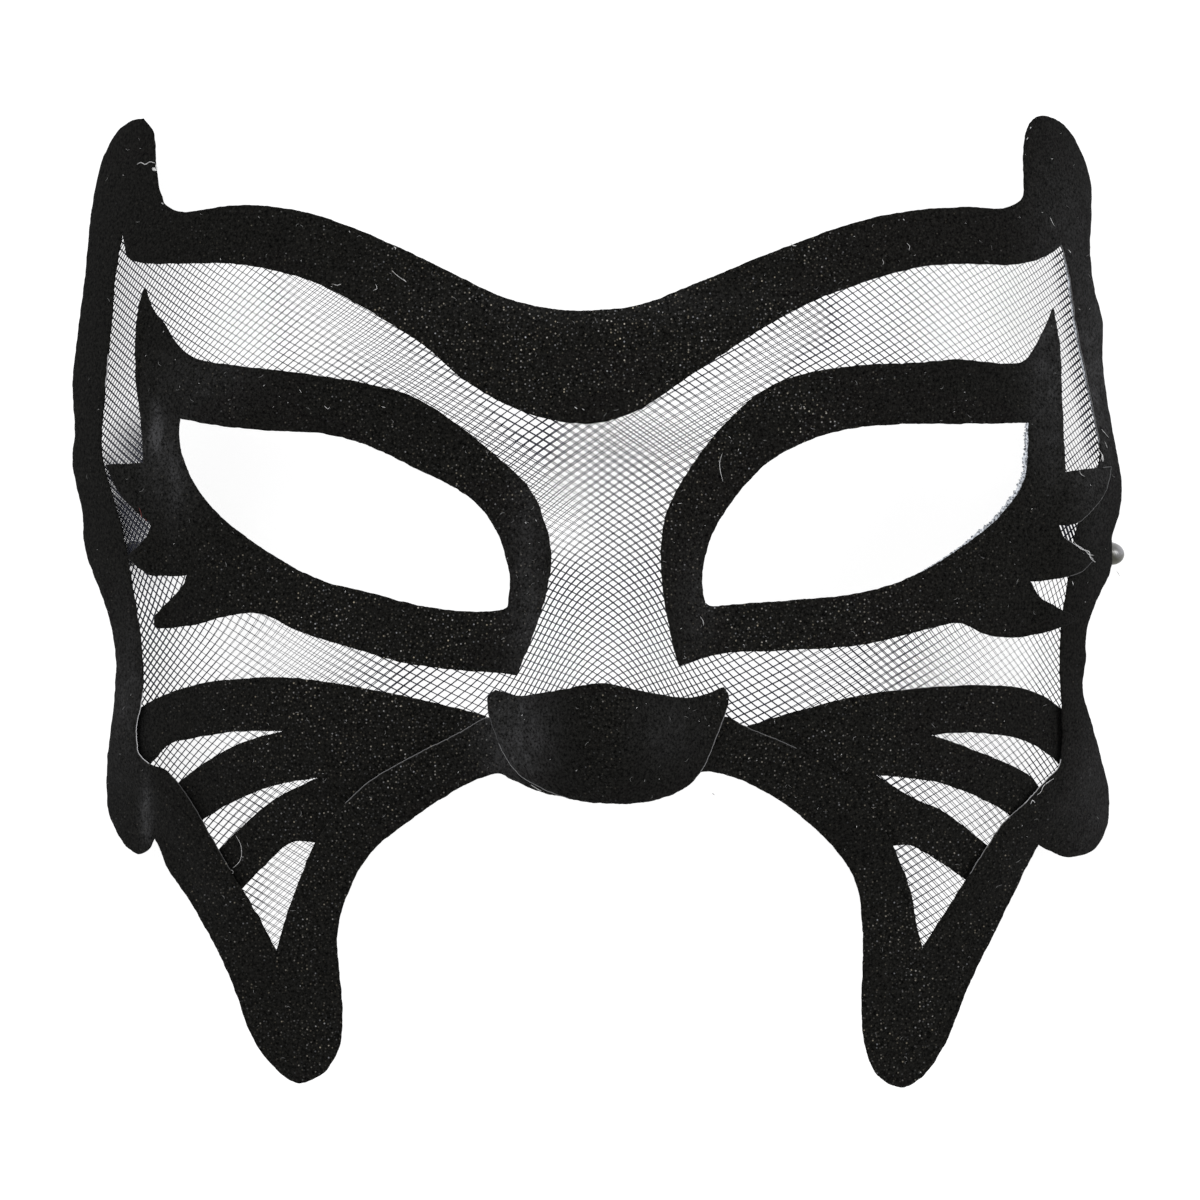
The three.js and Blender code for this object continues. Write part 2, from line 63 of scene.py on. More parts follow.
BORDER_EDGE = [
    # left ear and brow band
    [(-70.3, 74), (-68.9, 72), (-68.4, 67), (-67.8, 63), (-66.8, 60.6), (-64.3, 59.6), (-60, 60.2),
     (-54, 60.7), (-47, 59.9), (-40, 57.9), (-30.2, 53.8), (-20.8, 49.2), (-14, 46.2), (-8, 44.8),
     (-1.5, 44.5), (6, 45.3), (15.4, 48.9), (30.8, 55.1), (40, 58.2), (48, 59.8), (56, 60.4), (62.5, 60.3),
     (65, 61.6), (65.3, 64), (65.3, 69), (66, 73), (67.8, 74.4),
     # right ear and side strip
     (71, 73.3), (73.8, 69.4), (75.4, 64.5), (75.6, 60), (75.4, 53), (76.1, 47.5), (77.3, 43), (77.3, 37),
     (78, 30.8), (79.4, 23), (80.3, 17.5), (79.75, 13), (78.8, 9.7), (78.72, 6.2), (78.35, 4.2), (76, -1),
     (74.8, -5), (74.7, -9), (74.2, -13.5), (75.7, -19.3), (77.1, -24.5), (78.3, -30), (77.9, -35),
     (75.8, -38.4), (72, -39.5), (69, -38.4)],
    # right fang
    [(67.5, -37.6), (65.7, -40.8), (61.6, -49.3), (57, -58.5), (53.2, -67.9), (50, -72.8), (46.6, -74.9),
     (42.8, -73.1), (41.1, -69.6), (40.4, -64), (40.5, -50), (39.3, -43), (35.4, -37.3), (28.2, -31.1),
     (22, -27.7), (17.6, -26.4),
     # under the nose
     (15, -26.5), (9, -29.3), (1, -30.3), (-8, -29.8), (-13.4, -27.6), (-15.7, -26.6),
     # left fang
     (-20, -28), (-27.9, -32.8), (-35.2, -38.7), (-38.9, -45), (-40.5, -51), (-40.3, -57), (-39.7, -64),
     (-40.4, -69.2), (-42.9, -72.9), (-46.6, -74.2), (-50.8, -71.1), (-53.9, -66.4), (-56.1, -60),
     (-59.3, -53), (-63.1, -46.3), (-66.6, -41.1), (-67.8, -37.9)],
    # left cheek lobe and side strip
    [(-68.6, -36.6), (-69.4, -38.2), (-70.9, -39), (-72.5, -38.2), (-74.5, -35.3), (-75.7, -32),
     (-75.7, -24), (-74.7, -15.5), (-74.5, -8.5), (-75.7, -2), (-79.2, 8), (-79.6, 13.5), (-81.1, 20.5),
     (-80.8, 26), (-81.1, 33), (-80.2, 42), (-79.1, 51), (-78.2, 60), (-76.6, 67.5), (-74.4, 71.8),
     (-72.2, 73.6)],
]

BORDER_WINDOW = [
    # lower edge of the brow band
    [(-73.6, 56.8), (-73.1, 54.7), (-72.7, 52.9), (-70.8, 52), (-64, 51.9), (-57, 51.9), (-50, 50.8),
     (-43.5, 48.8), (-35.5, 44.6), (-27, 39.2), (-20.5, 33.7), (-11.9, 29.1), (-5, 27.4), (0, 27.4),
     (6.1, 29.5), (15.4, 35.7), (30.8, 45.2), (40.1, 48.8), (49.2, 51.3), (55, 51.8), (64.6, 51.8),
     (68.8, 53.1)],
    # inner edge of the right side strip and cheek lobe, outer side of the fang window
    [(71.1, 54.7), (72.2, 50.8), (73.3, 43), (74.8, 35.4), (76.4, 27.7), (77.2, 22.5), (76, 17.5),
     (73.6, 11), (72.4, 4.5), (71.2, -4), (70.9, -10), (71.3, -17.5), (70.8, -25.5), (68.7, -27.7),
     (66.5, -30.3), (62, -34.5), (60, -37.5), (55.2, -45)],
    # inner side of the fang window and upper edge of the right muzzle arc
    [(49.6, -53.7), (48.5, -49.2), (47.6, -44.5), (45, -38), (41.5, -32), (37.5, -27.7), (30, -22.8),
     (23, -19.8), (19, -18),
     # under the nose
     (9, -19.7), (-8, -19.6), (-17, -18.1),
     # the same on the left
     (-22, -20.7), (-30, -24.7), (-36.2, -28.6), (-40.8, -33.1), (-43.7, -37.3), (-46.6, -44.2),
     (-48.6, -50)],
    # outer side of the left fang window, inner edge of the left cheek lobe and side strip
    [(-49.8, -54.2), (-52.7, -48.7), (-57, -41.6), (-60.5, -35.5), (-64, -29.6), (-67, -26.2),
     (-69.4, -25.3), (-71, -23.7), (-71.5, -20.5), (-70.6, -15), (-70.6, -8), (-72, 1.5), (-74, 12),
     (-76.6, 21.2), (-76.9, 24.5), (-76.3, 32), (-75.4, 42), (-74.7, 50)],
]

LEFT_EYE_EDGE = [
    # spike and upper edge, down to the nose
    [(-70, 48), (-68.8, 44.6), (-67, 42.3), (-65.6, 40), (-62.7, 37.3), (-56, 36), (-46.2, 34.8),
     (-35, 33), (-28.1, 30.8), (-21, 26.1), (-15.4, 21.5), (-10.8, 16.9), (-8.5, 11.5), (-7.7, 6.2),
     (-8.6, 0.4), (-10.8, -6.2)],
    # lower edge
    [(-12.9, -11.5), (-15.4, -11.1), (-22, -10.7), (-30.8, -9.4), (-40, -6.7), (-46.2, -4.8), (-52.3, -2),
     (-57, -2.3), (-63, -3.8), (-68.3, -4.1), (-68.6, -2.9), (-66.2, -0.1), (-63.9, 2.6)],
    # points at the temple
    [(-63.6, 3.9), (-66.5, 3.8), (-69.6, 4.1)],
    [(-72.8, 6.6), (-70.2, 9.1), (-69.1, 11)],
    [(-69.3, 12), (-72, 14.2), (-74.3, 17)],
    [(-76, 20.8), (-73, 20.8)],
    # outer edge of the spike
    [(-70.3, 21.1), (-70.5, 26), (-71.5, 35.5), (-71, 45)],
]

LEFT_EYE_HOLE = [
    # upper edge
    [(-64.7, 28), (-60, 27.1), (-52, 26.2), (-43, 25.7), (-36.9, 24.3), (-27.7, 20), (-20, 15.8),
     (-15.9, 10.7), (-13.8, 3.5), (-14, 0.6), (-14.2, -1.1)],
    # lower edge
    [(-14.9, -1.6), (-18, -1.9), (-26, -1.3), (-36.9, 1.4), (-43.1, 3), (-50, 6.6), (-58.4, 12.7),
     (-62.9, 18.5), (-64.9, 24.6)],
]

RIGHT_EYE_EDGE = [
    # outer edge of the spike
    [(69.8, 44.9), (70.7, 39), (71.1, 30), (71.5, 22)],
    # points at the temple
    [(71.6, 19.6), (75, 20.1)],
    [(78.7, 20.5), (78, 17.2), (76, 14.1), (73.4, 11.9)],
    [(70.6, 11.5), (71.3, 9.7), (74.3, 7.8)],
    [(76, 6.1), (74, 4.3), (70, 3.3)],
    [(66.2, 2.9), (67.5, 0.5), (70, -1)],
    # lower edge
    [(73.6, -2.8), (70.8, -4.2), (64.6, -5.6), (60, -5.4), (55.4, -3.5), (50, -4.5), (40, -6.8),
     (27.7, -7.7), (18.5, -8.2)],
    # inner and upper edge, up to the spike
    [(12.3, -10), (11.2, -6.2), (9.8, 2), (9.5, 8), (10.5, 13.7), (14.7, 21.3), (20.1, 27.9), (25.4, 32.3),
     (31, 34.6), (40, 36), (49, 36.4), (55, 36.9), (62, 36.3), (65.1, 36.6), (67.7, 40.1)],
]

RIGHT_EYE_HOLE = [
    # outer and lower edge
    [(66.1, 27.4), (66, 23), (65.4, 18.4), (62, 13.2), (55.4, 7.8), (47.5, 3.3), (40, 1), (30.8, 0),
     (20, -0.8), (17.2, -1)],
    # inner and upper edge
    [(16.1, -0.5), (15.8, 1.2), (15.7, 3.6), (16.3, 7.5), (18.1, 11.9), (24.6, 20.2), (30, 23.7),
     (36.9, 26.1), (45, 27.1), (56, 27.2)],
]

LEFT_WHISKERS = [
    # highest stripe
    [(-17.6, -17.9), (-24.6, -16.1), (-35, -13.9), (-48, -12), (-55, -12.2), (-60, -12.7), (-66.5, -14.5),
     (-71.4, -17.4), (-72.6, -20.8), (-71.9, -24.6), (-69.6, -25.2), (-66.5, -22.2), (-62, -21),
     (-55, -20.1)],
    # middle stripe
    [(-48, -20.1), (-55, -22), (-60.9, -25.2)],
    [(-66.2, -29.3)],
    [(-62.3, -34.5), (-57.6, -31.5), (-50, -28.4)],
    # lowest stripe
    [(-42.8, -27.2), (-49.8, -30.6), (-55.3, -35.2)],
    [(-59.6, -39.4)],
    [(-56.2, -45.4), (-51.7, -40.8), (-47.3, -37.1), (-43.7, -37.2)],
    # along the muzzle arc
    [(-42.2, -37.3), (-39, -32.7), (-33, -27.8), (-22, -22.3)],
]

RIGHT_WHISKERS = [
    # highest stripe
    [(22.6, -19.5), (30, -17.3), (40, -14.8), (50, -13.6), (60, -13.2), (66.6, -14.1), (70.2, -16.2)],
    [(72.1, -18), (72.3, -22)],
    [(71.9, -26.6), (69.4, -23.9), (65, -21.4), (57, -20.3)],
    # middle stripe
    [(50.4, -20.7), (57, -23), (63.1, -25.5), (66.6, -27.6), (67.3, -29)],
    [(67.3, -31.4)],
    [(64.3, -33.8), (60, -31.1), (52, -28)],
    # lowest stripe
    [(42.1, -26.8), (47.9, -30.4), (53, -32.8)],
    [(60.8, -38.8)],
    [(57.5, -43.7), (52, -40), (47.5, -37.6)],
    # along the muzzle arc
    [(43.7, -38), (40, -32.3), (36, -28.4), (30, -24.5)],
]

NOSE_EDGE = [
    # upper edge
    [(-16.1, -13.9), (-12.5, -14.8), (-6, -13.9), (0, -12.9), (6, -14), (12.5, -15.1), (16, -14.7)],
    # sides and lower edge
    [(19.1, -13.5), (19.8, -15), (18.3, -20), (15.6, -26.2), (13, -28.9), (8, -30.8), (3, -31.3),
     (-4, -30.7), (-9.2, -28.8), (-13.2, -26.1), (-15.8, -21.5), (-17.3, -16.1), (-17.2, -14.9)],
]

# Form of the face
# It is highest at CROWN_Y and 1 mm lower at CROWN_BOW above or below that. To each side it goes down
# along an ellipse, and the wrap is the share of its half width that the mask takes up. A mound is its
# middle, half width, half length and height.

FACE_HEIGHT = 50.5
CROWN_Y = 12.0
CROWN_BOW = 20.8
NOSE_X = 0.8
LEFT_WRAP = 0.93
RIGHT_WRAP = 0.985
BROW = (38, 37, 24, 12, 2.5)
SOCKET = (40, 13, 19, 16, -4.5)
CHEEK = (45, -20, 19, 16, 3)
SLOPE_STEP = 0.05


def through(knots):
    """A smooth function through knots (position, value), held past its ends."""
    places, values = np.array(knots, float).T
    before = np.maximum(np.arange(len(knots)) - 1, 0)
    after = np.minimum(np.arange(len(knots)) + 1, len(knots) - 1)
    slopes = (values[after] - values[before]) / (places[after] - places[before])

    def value(t):
        t = np.clip(t, places[0], places[-1])
        i = np.clip(np.searchsorted(places, t, side="left") - 1, 0, len(knots) - 2)
        span = places[i + 1] - places[i]
        s = (t - places[i]) / span
        rise = s * s * (3 - 2 * s)
        inner = s * (1 - s) ** 2 * slopes[i] - s * s * (1 - s) * slopes[i + 1]
        return values[i] + (values[i + 1] - values[i]) * rise + span * inner

    return value


left_half_width = through([
    (-75, 75), (-40, 75.8), (-28, 76.1), (-8, 78), (20, 82.2), (38, 82.2), (60, 78.5), (76, 75),
])
right_half_width = through([
    (-75, 76), (-40, 78), (-30, 78.45), (-8, 79.4), (17, 81.6), (33, 78.6), (46, 77.3), (60, 76.3),
    (76, 73.7),
])
nose_rise = through([(-45, 6), (-33, 14), (-22, 19), (-12, 16.5), (0, 11.5), (12, 7.5), (24, 3.5), (38, 0)])
nose_half_width = through([(-40, 16), (-20, 14.5), (0, 11), (20, 9.5), (40, 10)])


def ease(value, low, high):
    """From 0 at low to 1 at high, level at both ends."""
    t = np.clip((value - low) / (high - low), 0, 1)
    return t * t * (3 - 2 * t)


def mound(x, y, centre_x, centre_y, half_width, half_length, height=1.0):
    return height * np.exp(-(((x - centre_x) / half_width) ** 2) - ((y - centre_y) / half_length) ** 2)


def mounds(points, spots):
    """Sum of several mounds at the points."""
    x, y = points.T
    return sum(mound(x, y, *spot) for spot in spots)


def unit(vectors):
    return vectors / np.linalg.norm(vectors, axis=-1, keepdims=True)


def face_height(x, y):
    """Height of the face form over x, y."""
    left = x < 0
    wrap = np.where(left, LEFT_WRAP, RIGHT_WRAP)
    half = np.where(left, left_half_width(y), right_half_width(y))
    reach = np.minimum(np.abs(x) / half, 1)
    fallen = (1 - np.sqrt(1 - (wrap * reach) ** 2)) / (1 - np.sqrt(1 - wrap * wrap))
    middle = FACE_HEIGHT - ((y - CROWN_Y) / CROWN_BOW) ** 2
    side = np.abs(x - NOSE_X)
    nose = nose_rise(y) * np.exp(-((side / nose_half_width(y)) ** 2))
    height = middle * (1 - fallen) + nose
    for spot in (BROW, SOCKET, CHEEK):
        height = height + mound(side, y, *spot)
    return height


def face_normal(x, y):
    h = SLOPE_STEP
    slope_x = (face_height(x + h, y) - face_height(x - h, y)) / (2 * h)
    slope_y = (face_height(x, y + h) - face_height(x, y - h)) / (2 * h)
    return unit(np.stack([-slope_x, -slope_y, np.ones_like(slope_x)], axis=-1))


# Way along the surface from left to right, at the brow's level
ROLL_LEVEL = 40.0
ROLL_X = np.arange(-84, 84.01, 0.5)
ROLL_HEIGHT = face_height(ROLL_X, np.full_like(ROLL_X, ROLL_LEVEL))
ROLL_WAY = np.concatenate([[0], np.cumsum(np.hypot(np.diff(ROLL_X), np.diff(ROLL_HEIGHT)))])


def unroll(x):
    return np.interp(x, ROLL_X, ROLL_WAY)


def roll_back(way):
    return np.interp(way, ROLL_WAY, ROLL_X)


# Outlines as points


def curve(knots, step):
    """Points along a centripetal Catmull-Rom curve through knots, without its last point."""
    p = np.array(knots, float)
    p = np.vstack([2 * p[0] - p[1], p, 2 * p[-1] - p[-2]])
    gaps = np.maximum(np.linalg.norm(np.diff(p, axis=0), axis=1) ** 0.5, 1e-3)
    out = []
    for i in range(1, len(p) - 2):
        a, b, c, d = p[i - 1 : i + 3]
        u, v, w = gaps[i - 1 : i + 2]
        out_slope = ((b - a) / u - (c - a) / (u + v) + (c - b) / v) * v
        in_slope = ((c - b) / v - (d - b) / (v + w) + (d - c) / w) * v
        steps = max(1, math.ceil(np.linalg.norm(c - b) / step))
        t = (np.arange(steps) / steps)[:, None]
        out.append(
            b + out_slope * t
            + (3 * (c - b) - 2 * out_slope - in_slope) * t**2
            + (2 * (b - c) + out_slope + in_slope) * t**3
        )
    return np.vstack(out)


def open_curve(knots, step):
    return np.vstack([curve(knots, step), knots[-1]])


def outline(runs, step):
    """A closed outline: each run starts at the corner where the last one ended."""
    parts = [curve(run + [runs[(i + 1) % len(runs)][0]], step) for i, run in enumerate(runs)]
    points = np.vstack(parts)
    x, y = points.T
    area = np.sum(x * np.roll(y, -1) - np.roll(x, -1) * y)
    return points if area > 0 else points[::-1]


def inside(points, loop):
    """Which of the points lie inside the loop."""
    odd = np.zeros(len(points), bool)
    px, py = points.T
    for (ax, ay), (bx, by) in zip(loop, np.roll(loop, -1, axis=0)):
        if ay == by:
            continue
        crosses = (ay > py) != (by > py)
        odd ^= crosses & (px < ax + (bx - ax) * (py - ay) / (by - ay))
    return odd


def between(points, loops):
    """Which of the points lie inside the first loop and in none of the others."""
    held = inside(points, loops[0])
    for hole in loops[1:]:
        held &= ~inside(points, hole)
    return held


def stretch_distance(points, starts, ends):
    """How far each point is from the nearest of the straight stretches."""
    nearest = np.full(len(points), np.inf)
    for a, b in zip(starts, ends):
        way = b - a
        t = np.clip(((points - a) @ way) / (way @ way), 0, 1)
        nearest = np.minimum(nearest, np.linalg.norm(points - a - t[:, None] * way, axis=1))
    return nearest


def right_of(along):
    """Unit steps to the right of each direction."""
    return unit(np.stack([along[:, 1], -along[:, 0]], axis=1))


def outwards(loop):
    return right_of(np.roll(loop, -1, axis=0) - np.roll(loop, 1, axis=0))


# Where pieces go over each other

LAP_SAMPLE = 1.2
left_lap, right_lap, window_lap = (
    outline(runs, LAP_SAMPLE) for runs in (LEFT_WHISKERS, RIGHT_WHISKERS, BORDER_WINDOW)
)


def lap_over(points, loop, over):
    """1 over what the loop bounds and up to LAP_CLEAR beside it, falling to 0 at LAP_RAMP."""
    distance = stretch_distance(points, loop, np.roll(loop, -1, axis=0))
    return 1 - ease(distance * np.where(over, -1, 1), LAP_CLEAR, LAP_RAMP)


def no_lift(points):
    return np.zeros(len(points))


def border_lift(points):
    """The border goes over the outer ends of the whiskers."""
    laps = [lap_over(points, loop, inside(points, loop)) for loop in (left_lap, right_lap)]
    return LAP_STEP * np.maximum(*laps)


def eye_lift(points):
    """The eye surrounds go over the border at the temples."""
    return LAP_STEP * lap_over(points, window_lap, ~inside(points, window_lap))


def nose_lift(points):
    """The nose goes over the border everywhere."""
    return LAP_STEP + border_lift(points)


# From the form to meshes


def on_face(points, depth, lift=0.0):
    """Where x, y points come to lie, depth below the form after a lift over another piece."""
    x, y = points.T
    normal = face_normal(x, y)
    place = np.stack([x, y, face_height(x, y) + lift / normal[:, 2]], axis=1)
    return place - normal * np.asarray(depth).reshape(-1, 1)


def to_row(places):
    """From the outlines' frame, which is as the camera sees it, to the row's frame in metres.

    What lies lower is further from the camera and looks smaller, so it is really a little wider.
    """
    wider = (CAMERA_HEIGHT - places[:, 2:] * MM) / (CAMERA_HEIGHT - PICTURE_LEVEL)
    places = np.hstack([places[:, :2] * wider, places[:, 2:]])
    return (places + ROW_SHIFT) * MM


def add_mesh(name, places, faces, materials, replaces=(), slot=None):
    """A shown piece from places in the outlines' frame."""
    mesh = bpy.data.meshes.new(name)
    mesh.from_pydata(to_row(places).tolist(), [], faces)
    for material in materials:
        mesh.materials.append(material)
    mesh.shade_smooth()
    mesh.update()
    obj = bpy.data.objects.new(name, mesh)
    bpy.context.scene.collection.objects.link(obj)
    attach(obj, "root")
    if replaces:
        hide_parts(*replaces)
    return obj


def ring_quads(rings, sides):
    """Quads between rings of places that follow each other."""
    corner = np.arange(sides)
    after = np.roll(corner, -1)
    start = sides * np.arange(rings - 1)[:, None]
    quads = np.stack([start + corner, start + after, start + sides + after, start + sides + corner], axis=2)
    return quads.reshape(-1, 4)


def add_tubes(name, tubes, turns, material, **declared):
    """A piece of closed tubes, each from a line in x and y, the tube's middle over it and its radii.

    Each ring of a tube has a corner at each of the turns.
    """
    sides = len(turns)
    places, faces, count = [], [], 0
    for line, middle, radius in tubes:
        up = face_normal(*line.T)
        aside = unit(np.cross(unit(np.gradient(middle, axis=0)), up))
        corners = [middle + radius[:, None] * (math.cos(a) * aside + math.sin(a) * up) for a in turns]
        places.append(np.stack(corners, axis=1).reshape(-1, 3))
        faces += (ring_quads(len(line), sides) + count).tolist()
        last = count + sides * (len(line) - 1)
        faces += [list(range(count, count + sides))[::-1], list(range(last, last + sides))]
        count = last + sides
    add_mesh(name, np.vstack(places), faces, [material], **declared)


# Materials

# The metal's colour changes where x + y in the row's frame, in millimetres, passes these values.
OLIVE_BELOW = 86.5
GREY_ABOVE = 88.5

# Numbers of a mix node's sockets for colours
MIX_COLOURS = (6, 7)
MIX_RESULT = 2


class Shading:
    """A new material, with short ways to add nodes to it."""

    def __init__(self, name, **constants):
        self.material = bpy.data.materials.new(name)
        self.material.use_nodes = True
        self.nodes = self.material.node_tree.nodes
        self.links = self.material.node_tree.links
        self.shader = self.nodes["Principled BSDF"]
        self.fill(self.shader, {key.replace("_", " "): value for key, value in constants.items()})

    def fill(self, node, sockets):
        """Constants are set on the node's sockets, and outputs are linked to them."""
        for key, value in sockets.items():
            if hasattr(value, "is_output"):
                self.links.new(value, node.inputs[key])
            else:
                node.inputs[key].default_value = value

    def node(self, kind, sockets, **settings):
        node = self.nodes.new("ShaderNode" + kind)
        for key, value in settings.items():
            setattr(node, key, value)
        self.fill(node, sockets)
        return node

    def place(self):
        return (self.nodes.get("Texture Coordinate") or self.node("TexCoord", {})).outputs["Object"]

    def texture(self, kind, size, sockets, **settings):
        """A noise or Voronoi texture whose features are about size millimetres across."""
        sockets = {"Vector": self.place(), "Scale": 1 / (size * MM), **sockets}
        return self.node("Tex" + kind, sockets, **settings)

    def noise(self, size, detail, roughness=0.5):
        return self.texture("Noise", size, {"Detail": detail, "Roughness": roughness}).outputs["Fac"]

    def attribute(self, name):
        return self.node("Attribute", {}, attribute_name=name).outputs["Fac"]

    def ramp(self, source, low, high, dark=0.0, light=1.0):
        """From dark at low to light at high, held past both."""
        sockets = {"Value": source, "From Min": low, "From Max": high, "To Min": dark, "To Max": light}
        return self.node("MapRange", sockets).outputs["Result"]

    def combine(self, operation, a, b):
        return self.node("Math", {0: a, 1: b}, operation=operation).outputs["Value"]

    def product(self, first, *others):
        for other in others:
            first = self.combine("MULTIPLY", first, other)
        return first

    def mix(self, share, a, b):
        """Colour a where share is 0 and colour b where it is 1."""
        node = self.node("Mix", {0: share}, data_type="RGBA")
        self.fill(node, dict(zip(MIX_COLOURS, (a, b))))
        return node.outputs[MIX_RESULT]

    def drive(self, key, source):
        self.fill(self.shader, {key: source})

    def bump(self, height, distance, strength):
        node = self.node("Bump", {"Height": height, "Distance": distance * MM, "Strength": strength})
        self.drive("Normal", node.outputs["Normal"])


def make_velvet():
    """Short black pile: dots of glue painted as glints, most of them faint, with painted sheen and edge
    highlights.
    """
    look = Shading(
        "flocked_velvet", Roughness=1.0, Specular_IOR_Level=0.0,
        Sheen_Weight=0.032, Sheen_Roughness=0.5, Sheen_Tint=(0.85, 0.85, 0.9, 1),
    )
    pile = look.noise(0.45, 3.0, 0.75)
    clouds = look.noise(2.2, 3.0)
    patches = look.noise(7.0, 3.0)
    cloth = look.mix(look.ramp(pile, 0.33, 0.68), (0.0005, 0.0005, 0.0005, 1), (0.0135, 0.0132, 0.012, 1))

    # Painted sheen: the pile is painted paler and mottled where a point attribute says, standing in for
    # light on its flanks and bends.
    mottled = look.ramp(pile, 0.36, 0.66, 0.1, 1.9)
    mottled = look.product(mottled, look.ramp(clouds, 0.35, 0.65, 0.6, 1.4), look.attribute("painted_sheen"))
    sheen_cloth = look.mix(mottled, cloth, (0.05, 0.05, 0.052, 1))

    # Painted glints: dots of glue, brightest where the surface faces up into the light, as a point
    # attribute says.
    cells = look.texture("Voronoi", 0.66, {"Randomness": 0.95}, voronoi_dimensions="2D")
    chance = look.node("SeparateColor", {"Color": cells.outputs["Color"]}).outputs
    dots = look.ramp(cells.outputs["Distance"], 0.24, 0.1)
    bright = look.product(look.combine("POWER", chance["Red"], 9.0), 0.5)
    bright = look.combine("ADD", bright, look.product(chance["Green"], 0.1))
    glints = look.product(dots, bright, look.attribute("painted_glints"), look.ramp(patches, 0.36, 0.62, 0.3, 1.5))
    glue = look.mix(chance["Blue"], (0.42, 0.37, 0.28, 1), (0.35, 0.36, 0.39, 1))
    dotted = look.mix(glints, sheen_cloth, glue)

    # Painted highlight: the cut edges are painted pale along the listed stretches.
    look.drive("Base Color", look.mix(look.attribute("pale"), dotted, (0.75, 0.75, 0.77, 1)))
    look.bump(pile, 0.1, 0.5)
    return look.material


def make_backing():
    look = Shading("velvet_backing", Roughness=0.9)
    weave = look.noise(0.4, 2.0)
    cloth = look.mix(look.ramp(weave, 0.3, 0.7), (0.02, 0.02, 0.021, 1), (0.04, 0.04, 0.042, 1))
    blotches = look.ramp(look.noise(6.0, 2.0), 0.5, 0.7)
    look.drive("Base Color", look.mix(blotches, cloth, (0.055, 0.054, 0.052, 1)))
    look.bump(weave, 0.08, 0.5)
    return look.material


def make_thread():
    look = Shading("stiff_black_thread", Roughness=0.5, Specular_IOR_Level=0.4)
    fibres = look.noise(0.6, 2.0)
    colour = look.mix(look.ramp(fibres, 0.3, 0.7), (0.009, 0.01, 0.017, 1), (0.027, 0.03, 0.052, 1))
    look.drive("Base Color", colour)
    look.bump(fibres, 0.03, 0.4)
    return look.material


def make_glued_edge():
    """Thread ends in dried glue, mottled dark and pale."""
    look = Shading("glued_net_edge", Roughness=0.7)
    mottled = look.ramp(look.noise(0.35, 3.0), 0.38, 0.62)
    look.drive("Base Color", look.mix(mottled, (0.04, 0.045, 0.055, 1), (0.6, 0.63, 0.68, 1)))
    return look.material


def make_metal():
    """Grey metal with random tarnish, painted a darker olive as shade everywhere but on the upper right
    side of the right cord tip.
    """
    look = Shading("dull_plated_metal", Metallic=0.9)
    scratches = look.noise(0.5, 4.0)
    tarnish = look.ramp(look.noise(1.6, 2.0), 0.4, 0.65)
    colour = look.mix(tarnish, (0.3, 0.3, 0.32, 1), (0.2, 0.2, 0.195, 1))
    place = look.node("SeparateXYZ", {"Vector": look.place()}).outputs
    across = look.combine("ADD", place["X"], place["Y"])
    # Painted shade: a darker olive on the lower left side of the right cord tip.
    painted_shade_side = look.ramp(across, OLIVE_BELOW * MM, GREY_ABOVE * MM)
    look.drive("Base Color", look.mix(painted_shade_side, (0.085, 0.085, 0.07, 1), colour))
    look.drive("Roughness", look.ramp(scratches, 0.3, 0.7, 0.28, 0.48))
    look.bump(scratches, 0.02, 0.3)
    return look.material


def make_fluff(name, colour):
    look = Shading(name, Roughness=0.9)
    dark = tuple(0.55 * c for c in colour[:3]) + (1,)
    look.drive("Base Color", look.mix(look.ramp(look.noise(0.5, 1.0), 0.35, 0.65), dark, colour))
    return look.material


velvet = make_velvet()
backing = make_backing()
thread = make_thread()
glued_edge = make_glued_edge()
metal = make_metal()
white_fluff = make_fluff("white_fluff", (0.62, 0.62, 0.62, 1))
grey_fluff = make_fluff("grey_fluff", (0.16, 0.16, 0.16, 1))
red_fluff = make_fluff("red_fluff", (0.2, 0.035, 0.03, 1))


# Velvet
# The cut edge is rounded over RIM_ROUND, drops by RIM_DROP and gets thinner over RIM_WIDTH. The pile
# reaches OVERHANG past the outline, and the back ends UNDERCUT inside the top's edge.

EDGE_STEP = 0.35
EDGE_ROUGHNESS = 0.035
EDGE_THICKNESS = 0.4
RIM_INSET = 0.16
RIM_DROP = 0.08
RIM_ROUND = 0.35
RIM_WIDTH = 1.2
OVERHANG = 0.12
UNDERCUT = 0.35
GRID_SPACING = 0.8
GRID_SHIFT = 0.1
RIPPLE_HEIGHT = 0.03
HIGHLIGHT_REACH = 1.2
HIGHLIGHT_WIDTH = 0.05

# Length, direction and phase of each small wave in the velvet
WAVES = RANDOM.uniform((1.6, 0, 0), (7.0, 2 * math.pi, 2 * math.pi), (26, 3))

# Mounds of the painted glints on the dots of glue, and of the painted sheen where the pile looks paler
GLINT_SPOTS = [
    (1, 43, 26, 8, 0.7), (-33, -4, 14, 5, 0.5), (-42, -25, 14, 12, 0.5), (30, -2, 14, 5, 0.3),
    (34, 28, 10, 5, 0.35), (3, -22, 16, 9, -0.6), (36, -33, 10, 7, -0.4), (-36, -35, 9, 6, -0.4),
    (62, 2, 12, 8, -0.35),
]
SHEEN_SPOTS = [
    (-13, -21, 5, 7, 0.42), (-11, -3, 3, 9, 0.25), (-11, 12, 3, 8, 0.18), (15, 0, 3, 8, 0.12),
    (10, -20, 5, 5, 0.12), (76, 33, 3, 18, 0.36), (71, 57, 5, 12, 0.15), (69, 40, 3, 8, 0.24),
    (-67, 22, 6, 8, 0.2), (-68.3, 26, 0.8, 3.4, 0.9), (-65.4, 17, 1.2, 5, 0.2), (-73, -14, 3, 12, 0.2),
    (-69.8, -33, 0.9, 4.5, 0.5), (76, -30, 4, 10, 0.15), (0, 46, 20, 3, 0.1), (-60, 35, 8, 5, 0.12),
    (70, 28, 4, 10, 0.18),
]
